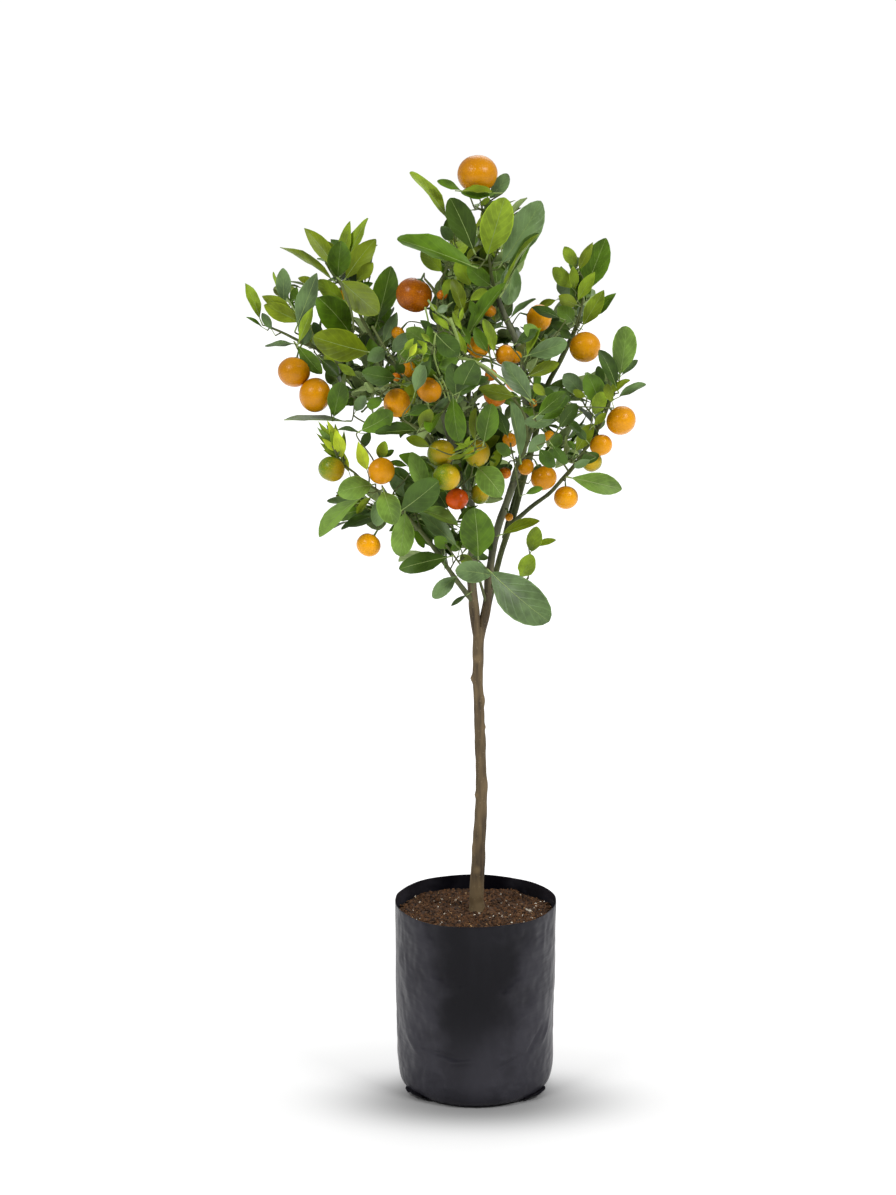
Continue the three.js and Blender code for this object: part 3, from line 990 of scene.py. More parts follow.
@dataclass(frozen=True)
class PottingSoil:
    """Coir crumbs and chips heaped a little round the trunk, with white grit."""

    level: float = 188.0
    radius: float = 83.0
    side: tuple = ((4, 3), (70, 3), (78, 12), (81, 90), (83, 182))
    mound: float = 3.0
    mound_radius: float = 26.0
    sunk: float = 2.0
    sunk_from: float = 74.0
    rough: Grain = Grain(13.0, 1.5, 40, layers=4)
    hue: Grain = Grain(6.0, 0.3, 3, layers=1)
    mean_tone: float = 0.3
    rings: int = 56
    innermost: float = 1.5
    columns: int = 150
    crumbs: Stones = Stones("soil_crumbs", 2600, 0.7, 1.9)
    grit: Stones = Stones("soil_grit", 150, 0.55, 1.35, many_tones=False)
    chips: Stones = Stones("soil_chips", 260, 0.4, 0.8, 4.0)
    stone_rings: int = 4
    stone_sides: int = 6
    stone_pole: float = 0.35
    stone_dents: Span = (0.75, 1.25)
    stone_stretch: Span = (0.55, 1.6)
    chip_tilt: float = 0.3
    stone_rise: float = 0.25
    spread: float = 0.985

    def settled(self, radius: Array, angle: Array) -> Array:
        """Points of the soil's top: level + mound e^-(r / mound radius)^2 + noise, sunk at the film.

        Args:
            radius: distances from the bag's middle line.
            angle: angles round it.

        Returns:
            Points in the common shape of the two, with a last axis of 3.
        """
        points = round_points(radius, angle, 0.0)
        far = np.hypot(points[..., 0], points[..., 1])
        heaped = self.level + self.mound * np.exp(-((far / self.mound_radius) ** 2)) + self.rough.at(points)
        points[..., 2] = heaped - self.sunk * smooth_step(far, self.sunk_from, self.radius)
        return points

    def lumps(self, stones: Stones, random: np.random.Generator) -> Array:
        """Points of small uneven stones resting in the surface.

        Each is a ball of a few rings, every point moved in or out, stretched and turned. Slim ones
        are longer along one axis, and lie nearly flat.

        Args:
            stones: the kind of stones.
            random: the source of every choice.

        Returns:
            Points shaped (count, rings, sides, 3).
        """
        count = stones.count
        polar = np.linspace(self.stone_pole, math.pi - self.stone_pole, self.stone_rings)[:, None]
        ball = round_points(np.sin(polar), ring_angles(self.stone_sides), -np.cos(polar))
        ball = ball * random.uniform(*self.stone_dents, (count, self.stone_rings, self.stone_sides, 1))
        size = random.uniform(stones.low, stones.high, (count, 1, 1, 1))
        size = size * random.uniform(*self.stone_stretch, (count, 1, 1, 3))
        size *= np.array([stones.slim, 1.0, 1.0])
        turns = np.linalg.qr(random.normal(size=(count, 3, 3)))[0]
        turns *= np.sign(np.linalg.det(turns))[:, None, None]
        turns[:, 2] *= 1.0 if stones.slim == 1.0 else self.chip_tilt
        shapes = np.einsum("nij,nrcj->nrci", turns, ball * size)
        reach = self.radius * self.spread * np.sqrt(random.uniform(0.01, 1, count))
        centres = self.settled(reach, random.uniform(0, TURN, count)) + UP * self.stone_rise
        return shapes + centres[:, None, None, :]

    def build(self) -> None:
        """Makes the soil, its crumbs, its grit and its chips."""
        outer = np.array(self.side, float)
        inward = np.linspace(self.radius, self.innermost, self.rings)
        radius = np.concatenate([outer[:, 0], inward])[:, None]
        points = self.settled(radius, ring_angles(self.columns))
        points[: len(outer), :, 2] = outer[:, 1:]
        heap = Heap()
        heap.add_rings(points[None], self.hue.at(points) + self.mean_tone)
        heap.make("soil_bed", SoilFinish("soil_bed").material(), ["soil"])
        random = np.random.default_rng(SEED + 1)
        chip_finish = SoilFinish("soil_chips", paint(120, 82, 44), paint(196, 156, 104))
        for stones, finish, slot in (
            (self.crumbs, SoilFinish("soil_crumbs"), "soil"),
            (self.grit, GritFinish(), "grit"),
            (self.chips, chip_finish, "soil"),
        ):
            heap = Heap(smooth=False)
            points = self.lumps(stones, random)
            heap.add_rings(points, random.uniform(0, 1, stones.count) if stones.many_tones else 0.0)
            heap.make(stones.piece, finish.material())


# ---------------- wood


@dataclass(frozen=True)
class Knot:
    """A swelling of the bark: height above the floor, direction in degrees, lift and half width."""

    height: float
    angle: float
    lift: float
    width: float


@dataclass(frozen=True)
class Limb:
    """A limb: rows of x, y, z and radius, and the root's rows hidden inside what it grows from.

    Painted light from the soil begins at one height and is full at the next, both written with a minus sign.
    """

    name: str
    stops: tuple
    root: tuple = ()
    young: bool = True
    step: float = 3.0
    sides: int = 16
    rough: float = 0.09
    knots: tuple[Knot, ...] = ()
    foot_tone: float = 0.05
    knot_tone: float = 0.5
    # painted light from the soil: how much paler, and the heights where it fades in
    soil_light_tone: float = 0.35
    soil_light_heights: Span = (-235.0, -195.0)

    def shape(self) -> tuple[Array, Array]:
        """Points of its bark, and each point's share of a knot: radius r + r x rough x noise + knots.

        A knot of half width w gives lift x exp(-((z - height) / w)^2 - (arc / w)^2).

        Returns:
            Points shaped (rows, sides, 3), and shares shaped (rows, sides).
        """
        path = smooth_path(self.root + self.stops, self.step)
        radius = path[:, 3:4] + np.zeros(self.sides)
        rings = tube_grid(path[:, :3], radius, self.sides)
        furrows = Grain(5.5, self.rough, len(self.name), (1.0, 1.0, 0.35))
        swellings = Grain(16.0, self.rough, 60, (0.2, 0.2, 1.0), layers=1)
        relief = furrows.at(rings) * radius + swellings.at(rings) * radius * 0.9
        offset = rings - path[:, None, :3]
        angle = np.arctan2(offset[..., 1], offset[..., 0])
        scars = np.zeros(angle.shape)
        for knot in self.knots:
            aside = (angle - math.radians(knot.angle) + math.pi) % TURN - math.pi
            far = ((rings[..., 2] - knot.height) / knot.width) ** 2 + (aside * radius / knot.width) ** 2
            relief += knot.lift * np.exp(-far)
            scars += np.exp(-far * 2)
        return tube_grid(path[:, :3], radius + relief, self.sides), scars

    def build(self, material: Material) -> None:
        """Makes its bark, paler towards its tip, at its knots, and just above the soil, that last as painted
        light.

        Args:
            material: the bark's finish.
        """
        shape, scars = self.shape()
        heap = Heap()
        tip_tone = 0.25 if self.young else 0.1
        tone = np.linspace(self.foot_tone, tip_tone, len(shape))[:, None] + scars * self.knot_tone
        # painted light: paler just above the soil, as if lit by it
        tone += self.soil_light_tone * smooth_step(-shape[..., 2], *self.soil_light_heights)
        heap.add_rings(shape[None], tone)
        heap.make("bark_" + self.name, material, [self.name])


TRUNK = Limb("trunk", (
    (2, 0, 188.3, 9.4), (1.5, 0, 196, 7.9), (1.2, 0, 206, 7.3), (3, 0, 245, 6.9), (5, 0, 288, 6.4),
    (5.8, 0, 316, 6.3), (5, 0, 358, 5.8), (4, 0, 388, 5.5), (3, 0, 417, 5.5), (2, 0, 440, 5.2),
    (2.4, 0, 474, 5.5), (3, 0, 486, 5.4), (3.6, 0, 495, 3.6),
), root=((2, 0, 184, 10.6),), young=False, step=1.8, sides=36, rough=0.075, knots=(
    Knot(440, 180, 2.4, 4.0), Knot(417, 0, 1.4, 6.0), Knot(389, -20, 1.3, 2.4), Knot(327, 0, 1.1, 8.0),
    Knot(316, -150, 1.9, 3.0), Knot(257, 180, 1.1, 8.0), Knot(207, -60, 0.7, 4.0),
    Knot(206, -150, 0.6, 4.0), Knot(350, 90, 1.6, 4.0), Knot(283, 60, 1.2, 4.0), Knot(462, -100, 0.9, 5.0),
    Knot(236, -100, 0.5, 5.0)))

LIMBS = (
    Limb("stem_left", (
        (-1.2, -1, 503, 5.3), (-2.6, -3, 523, 5.2), (-5, -6, 550, 4.8), (-4, -10, 582, 4.5),
        (-5, -12, 618, 4.4), (-15, -12, 661, 4.1), (-28, -12, 694, 3.6), (-35, -14, 725, 3.1),
    ), root=((3.2, -1, 462, 3.4), (1.6, -1, 484, 4.2)), young=False, step=2.5, sides=24, knots=(
        Knot(530, 170, 1.2, 3), Knot(566, -20, 1.0, 3), Knot(604, 180, 1.2, 3), Knot(640, -60, 1.0, 3))),
    Limb("stem_right", (
        (8.6, 2, 503, 4.9), (11.6, 5, 521, 4.8), (14, 8, 552, 4.3), (20, 10, 588, 4.0),
        (31.8, 10, 625, 3.9), (44.6, 8, 663, 4), (50.5, 6, 699, 3.5), (49, 3, 736, 3.1), (44, 0, 776, 3),
        (29, -3, 810, 2.8), (21, -5, 830, 2.6),
    ), root=((2.6, 1, 462, 3.4), (5, 1.4, 484, 4.0)), young=False, step=2.5, sides=24, knots=(
        Knot(536, 0, 1.0, 3), Knot(575, 170, 1.0, 3), Knot(612, 20, 1.1, 3), Knot(650, -90, 0.8, 3))),
    Limb("stem_back", (
        (10.5, 6, 506, 3.2), (15.2, 16, 524, 3.2), (21.6, 27, 550, 3.1), (28.8, 35, 574, 3.2),
        (37.2, 42, 598, 3.3), (47.5, 50, 633, 3.4), (60, 57, 679, 3.1), (72, 60, 731, 2.8),
        (85, 60, 758, 2.6), (98, 60, 785, 2.3), (104, 60, 800, 2.1),
    ), root=((6, 3, 494, 2.6),)),
    Limb("bough_right", (
        (36, 41, 594, 2.4), (45, 33, 603, 2.3), (58, 20, 617, 2.2), (74, 5, 632, 2.1), (86, -8, 648, 2),
        (100, -18, 667, 1.9), (119, -26, 700, 1.7), (127, -29, 716, 1.6))),
    Limb("bough_low_left", (
        (-4, -4, 523, 3), (-13, -14, 536, 2.8), (-27, -26, 558, 2.5), (-39, -36, 578, 2.3),
        (-50, -43, 594, 2.2), (-61, -47, 608, 2), (-76, -46, 624, 1.9), (-88, -42, 636, 1.7))),
    Limb("bough_left", (
        (-19, -12, 673, 2.9), (-32, -8, 680, 2.7), (-43, -4, 688, 2.5), (-59, 0, 700, 2.3),
        (-73, 4, 711, 2.2), (-87, 8, 724, 2.1), (-104, 12, 738, 2), (-132, 16, 757, 1.8),
        (-162, 20, 778, 1.6), (-176, 21, 790, 1.4))),
    Limb("bough_upper_left", (
        (-33, -13, 716, 2.7), (-49, -4, 728, 2.4), (-61, 6, 737, 2.2), (-75, 16, 752, 2.1),
        (-89, 24, 766, 2), (-102, 30, 782, 1.8), (-116, 36, 806, 1.6), (-122, 37, 822, 1.5))),
    Limb("bough_middle", (
        (-34, -14, 721, 2.7), (-37, -17, 746, 2.4), (-39, -18, 770, 2.2), (-36, -18, 792, 2))),
    Limb("bough_back_left", (
        (-5, -11, 600, 3), (-20, 12, 628, 2.7), (-42, 42, 665, 2.3), (-65, 72, 705, 2), (-80, 92, 738, 1.7))),
    Limb("bough_back_right", (
        (29, 37, 580, 2.6), (40, 60, 616, 2.4), (56, 90, 660, 2.1), (71, 115, 702, 1.8),
        (79, 130, 732, 1.6))),
    Limb("bough_back", (
        (-13, -11, 652, 2.9), (-11, 20, 690, 2.6), (-7, 54, 732, 2.2), (-1, 84, 776, 1.9),
        (2, 98, 802, 1.7))),
    Limb("bough_front_left", (
        (-10, -12, 640, 2.7), (-27, -38, 668, 2.4), (-45, -66, 696, 2), (-57, -84, 720, 1.7))),
    Limb("bough_front_right", (
        (37, 9, 645, 2.7), (42, -20, 668, 2.4), (50, -53, 694, 2), (57, -80, 724, 1.7))),
)

LEADERS = (
    ("inner", ((11, 3, 516), (7, 1, 531), (3, -2, 546), (1, -6, 562), (0, -10, 586))),
    ("top", ((21, -5, 830), (15, -7, 850), (11, -9, 878), (8, -9, 898), (4, -7, 925))),
    ("middle", ((-36, -18, 792), (-40, -20, 815), (-38, -22, 835), (-33, -24, 855), (-27, -26, 872))),
    ("upper_left", ((-122, 37, 822), (-130, 36, 832), (-138, 34, 842), (-144, 34, 856))),
    ("left_tip", ((-162, 20, 778), (-180, 20, 786), (-196, 20, 794), (-212, 18, 801))),
    ("right", ((127, -29, 716), (132, -31, 730), (138, -31, 744))),
    ("upper_right", ((104, 60, 800), (108, 60, 818), (111, 58, 840))),
    ("skirt_right", ((15, 5, 538), (26, 0, 529), (38, -14, 531), (47, -26, 543), (52, -31, 552))),
    ("low_left", ((-76, -46, 624), (-90, -48, 638), (-104, -52, 648), (-122, -46, 660))),
    ("front_high", ((50, -53, 694), (46, -78, 722), (26, -96, 752), (0, -104, 776), (-16, -104, 788))),
    ("fruit_left", ((-38, -22, 832), (-44, -21, 842), (-52, -19, 851))),
    ("left_front", ((-104, 12, 738), (-122, 2, 734), (-138, -10, 728), (-146, -14, 722))),
    ("centre_low", ((-5, -12, 618), (-14, -34, 632), (-24, -54, 652), (-26, -66, 672))),
)

# Shoots that show: depth y and radius in mm, then places in picture units, right and down. The
# first of them, as many as NEW_SHOOTS says, are pale and new, and the rest are woody.
NEW_SHOOTS = 8
SHOOTS = (
    (-118, 1.5, ((458, 358), (470, 360), (484, 366), (503, 380), (520, 392), (531, 402))),
    (-106, 1.6, ((450, 318), (456, 334), (459, 348), (458, 358))),
    (-104, 1.0, ((436, 333), (434, 346), (435, 360), (440, 375), (446, 388), (450, 402))),
    (-108, 0.9, ((422, 356), (431, 371), (440, 383), (446, 398))),
    (-96, 1.0, ((428, 300), (436, 311), (446, 318), (450, 322))),
    (-80, 0.9, ((425, 307), (428, 320), (430, 337))),
    (-70, 0.9, ((493, 373), (490, 356), (487, 338))),
    (-91, 0.8, ((486, 420), (480, 430), (474, 440), (466, 449), (452, 455))),
    (-60, 1.1, ((372, 326), (384, 346), (398, 366), (411, 384))),
    (-30, 1.2, ((340, 281), (347, 298), (352, 314), (354, 332))),
    (-52, 1.0, ((432, 528), (446, 545), (460, 564), (470, 576))),
    (-70, 1.0, ((400, 420), (420, 428), (434, 438))),
    (-46, 1.2, ((333, 446), (341, 462), (356, 474), (368, 486))),
)


@dataclass
class Wood:
    """Every place where something may start to grow, and the twigs grown so far."""

    points: Array = field(default_factory=lambda: np.zeros((0, 3)))
    headings: Array = field(default_factory=lambda: np.zeros((0, 3)))
    owners: Array = field(default_factory=lambda: np.zeros(0, int))
    twigs: list[Array] = field(default_factory=list)
    parents: list[int] = field(default_factory=list)
    rows: int = 9
    sides: int = 6
    agreeing: float = 0.35
    dropping: float = 0.6
    turning_back: float = 0.5
    following: float = 0.35
    lead: float = 0.3
    trail: float = 0.36
    tip_radius: float = 0.62
    least_radius: float = 0.55
    radius_by_load: float = 0.2
    most_radius: float = 1.9

    def add(self, path: Array, owner: int = -1) -> None:
        """Adds places to start from.

        Args:
            path: the points of a twig or a limb.
            owner: the twig's number, or -1 for a limb.
        """
        self.points = np.concatenate([self.points, path])
        self.headings = np.concatenate([self.headings, unit(np.gradient(path, axis=0))])
        self.owners = np.concatenate([self.owners, np.full(len(path), owner)])

    def start_for(self, target: Array) -> int:
        """The place from which the target costs least.

        A cost is distance x (1.25 - agreeing x agreement of directions) + dropping x any drop to the
        target + turning back x any way back towards the crown's middle.

        Args:
            target: the place to reach.

        Returns:
            The number of the place to start from.
        """
        line = target - self.points
        distance = norms(line)
        agreement = np.sum(line * self.headings, axis=1) / np.maximum(distance, 1e-6)
        middle = CROWN_MIDDLE[:2]
        inward = norms(self.points[:, :2] - middle) - norms(target[:2] - middle)
        cost = distance * (1.25 - self.agreeing * agreement) + self.dropping * np.maximum(0, -line[:, 2])
        return int(np.argmin(cost + self.turning_back * np.maximum(0, inward)))

    def reach(self, target: Array, heading: Array) -> tuple[int, Array]:
        """Works out a twig: a cubic curve that leaves along the wood, its handles at shares of the way.

        Args:
            target: the place to reach.
            heading: its direction there, as far as that agrees with the straight way.

        Returns:
            The number of the place where it starts, and its path.
        """
        index = self.start_for(target)
        start = self.points[index]
        distance = norms(target - start)
        straight = unit(target - start)
        lead = start + unit(self.headings[index] * self.following + straight) * distance * self.lead
        trail = target - heading * distance * self.trail * max(0.0, float(heading @ straight))
        return index, bezier(start, lead, trail, target, self.rows)

    def keep(self, index: int, path: Array) -> None:
        """Keeps a twig.

        Args:
            index: the number of the place where it starts.
            path: its points.
        """
        self.parents.append(int(self.owners[index]))
        self.twigs.append(path)
        self.add(path[2:], len(self.twigs) - 1)

    def loads(self) -> Array:
        """Counts the tips of each twig and of every twig that starts on it.

        Returns:
            One number for each twig.
        """
        loads = np.ones(len(self.twigs))
        for index in range(len(self.twigs) - 1, -1, -1):
            if self.parents[index] >= 0:
                loads[self.parents[index]] += loads[index]
        return loads

    def build(self, material: Material) -> None:
        """Makes the twigs. The thinner they are, the greener their tone.

        The radius w is least + by load x sqrt(load) at the start, up to the most, and goes to
        w + 0.8 (tip radius - w) t^1.2 at share t of the way.

        Args:
            material: their finish.
        """
        wide = self.least_radius + self.radius_by_load * np.sqrt(self.loads())
        wide = np.minimum(wide, self.most_radius)[:, None]
        along = np.linspace(0, 1, self.rows)[None, :]
        radii = wide + (self.tip_radius - wide) * along**1.2 * 0.8
        heap = Heap()
        heap.add_rings(tube_grid(np.array(self.twigs), radii, self.sides), np.clip(1.1 - wide * 0.6, 0, 1))
        heap.make("twigs", material)


@dataclass(frozen=True)
class Framework:
    """Trunk, limbs, leaders and shoots. Lengths and radii are in mm."""

    bark: BarkFinish = BarkFinish("bark", paint(54, 42, 26), paint(115, 96, 66), paint(148, 132, 102), 0.3)
    young_bark: BarkFinish = BarkFinish(
        "young_bark", paint(54, 60, 30), paint(86, 92, 54), paint(130, 130, 92), 0.3,
        paint(50, 62, 26), paint(92, 102, 52), (0.5, 0.7),
    )
    shoot_skin: StalkFinish = StalkFinish("shoot_skin", paint(84, 106, 44), paint(150, 172, 92))
    limb_step: float = 6.0
    step: float = 4.0
    leader_radius: float = 1.75
    leader_taper: float = 0.7
    leader_sides: int = 10
    shoot_taper: Span = (1.1, 0.8)
    shoot_sides: int = 8

    def build(self, wood: Wood, sight: Sight) -> None:
        """Makes the limbs, leaders and shoots.

        Args:
            wood: what their paths are added to.
            sight: what places the shoots.
        """
        old, young = self.bark.material(), self.young_bark.material()
        TRUNK.build(old)
        for limb in LIMBS:
            limb.build(young if limb.young else old)
            wood.add(smooth_path(limb.stops, self.limb_step)[1:, :3])
        heap = Heap()
        for name, stops in LEADERS:
            radii = self.leader_radius - self.leader_taper * np.linspace(0, 1, len(stops))
            path = smooth_path(np.column_stack([stops, radii]), self.step)
            heap.add_rings(tube_grid(path[None, :, :3], path[None, :, 3], self.leader_sides), 0.4)
            wood.add(path[:, :3])
            LOG.info("leader %s: %d rings", name, len(path))
        pale = Heap()
        for number, (depth, radius, stops) in enumerate(SHOOTS):
            places = sight.to_frame(np.array(stops, float), np.full(len(stops), float(depth)))
            radii = np.linspace(*self.shoot_taper, len(stops)) * radius
            path = smooth_path(np.column_stack([places, radii]), self.step)
            kind = pale if number < NEW_SHOOTS else heap
            kind.add_rings(tube_grid(path[None, :, :3], path[None, :, 3], self.shoot_sides), 0.6)
            wood.add(path[:, :3])
        heap.make("leaders", young)
        pale.make("shoots", self.shoot_skin.material())


# ---------------- leaves


class Tint(Enum):
    """Colours of leaf blades, by the letter that the tables use."""

    DEEP = "D"
    GREEN = "G"
    OLIVE = "O"
    FRESH = "F"
    # painted sheen: the grey-green of glossy dark leaves that mirror the bright surround
    SHEEN = "S"
    LIGHT = "L"
    YELLOW = "Y"
    # painted shade: darker leaves for the inside and the back of the crown
    DARK = "K"


TINTS = list(Tint)
LEAF_FINISHES = {
    Tint.DEEP: LeafFinish("leaf_deep", paint(60, 84, 26)),
    Tint.GREEN: LeafFinish("leaf_green", paint(76, 106, 18)),
    Tint.OLIVE: LeafFinish("leaf_olive", paint(104, 120, 18)),
    Tint.FRESH: LeafFinish("leaf_fresh", paint(124, 148, 34), 0.5, 0.2),
    # painted sheen: grey-green for glossy leaves that mirror the bright surround
    Tint.SHEEN: LeafFinish("leaf_sheen", paint(90, 114, 66), 0.4, 0.4),
    Tint.LIGHT: LeafFinish("leaf_light", paint(106, 136, 54), 0.48, 0.25),
    # painted shade: the darker tint of leaves deep in the crown
    Tint.DARK: LeafFinish("leaf_dark", paint(50, 70, 14)),
    Tint.YELLOW: LeafFinish("leaf_yellow", paint(172, 190, 46), 0.5, 0.2),
}
PETIOLE = 8.0


def stalks(axes: Array) -> Array:
    """The way from each leaf's joint to its foot: four fifths of the petiole, as it bends."""
    return axes * PETIOLE * 0.8


@dataclass
class Leaves:
    """Leaf blades, one row each: foot, direction, facing, length, width, tint number and pointedness."""

    foot: Array
    axis: Array
    face: Array
    length: Array
    width: Array
    tint: Array
    pointed: Array

    @staticmethod
    def joined(many: Sequence["Leaves"]) -> "Leaves":
        """All of them as one."""
        return Leaves(*(np.concatenate(rows) for rows in zip(*(vars(leaves).values() for leaves in many))))

    def picked(self, chosen: Array) -> "Leaves":
        """Only the chosen rows."""
        return Leaves(*(rows[chosen] for rows in vars(self).values()))

    def samples(self) -> Array:
        """Seven places on each blade: five along its middle and its two widest points.

        Returns:
            Points shaped (n, 7, 3).
        """
        side = np.cross(self.axis, self.face) * (0.42 * self.width)[:, None]
        along = np.array([0.08, 0.3, 0.55, 0.8, 1.0])[None, :, None]
        spine = self.foot[:, None] + self.axis[:, None] * self.length[:, None, None] * along
        middle = spine[:, 2:3]
        return np.concatenate([spine, middle + side[:, None], middle - side[:, None]], axis=1)


@dataclass(frozen=True)
class Cluster:
    """Leaves of one shoot, in picture units, with their depth y in mm and a tint's letter for each.

    A row is foot right, foot down, tip right, tip down, width, and mm nearer than the depth.
    Pointed adds to how far the blades end in a point.
    """

    name: str
    depth: float
    tints: str
    rows: tuple
    pointed: float = 0.0


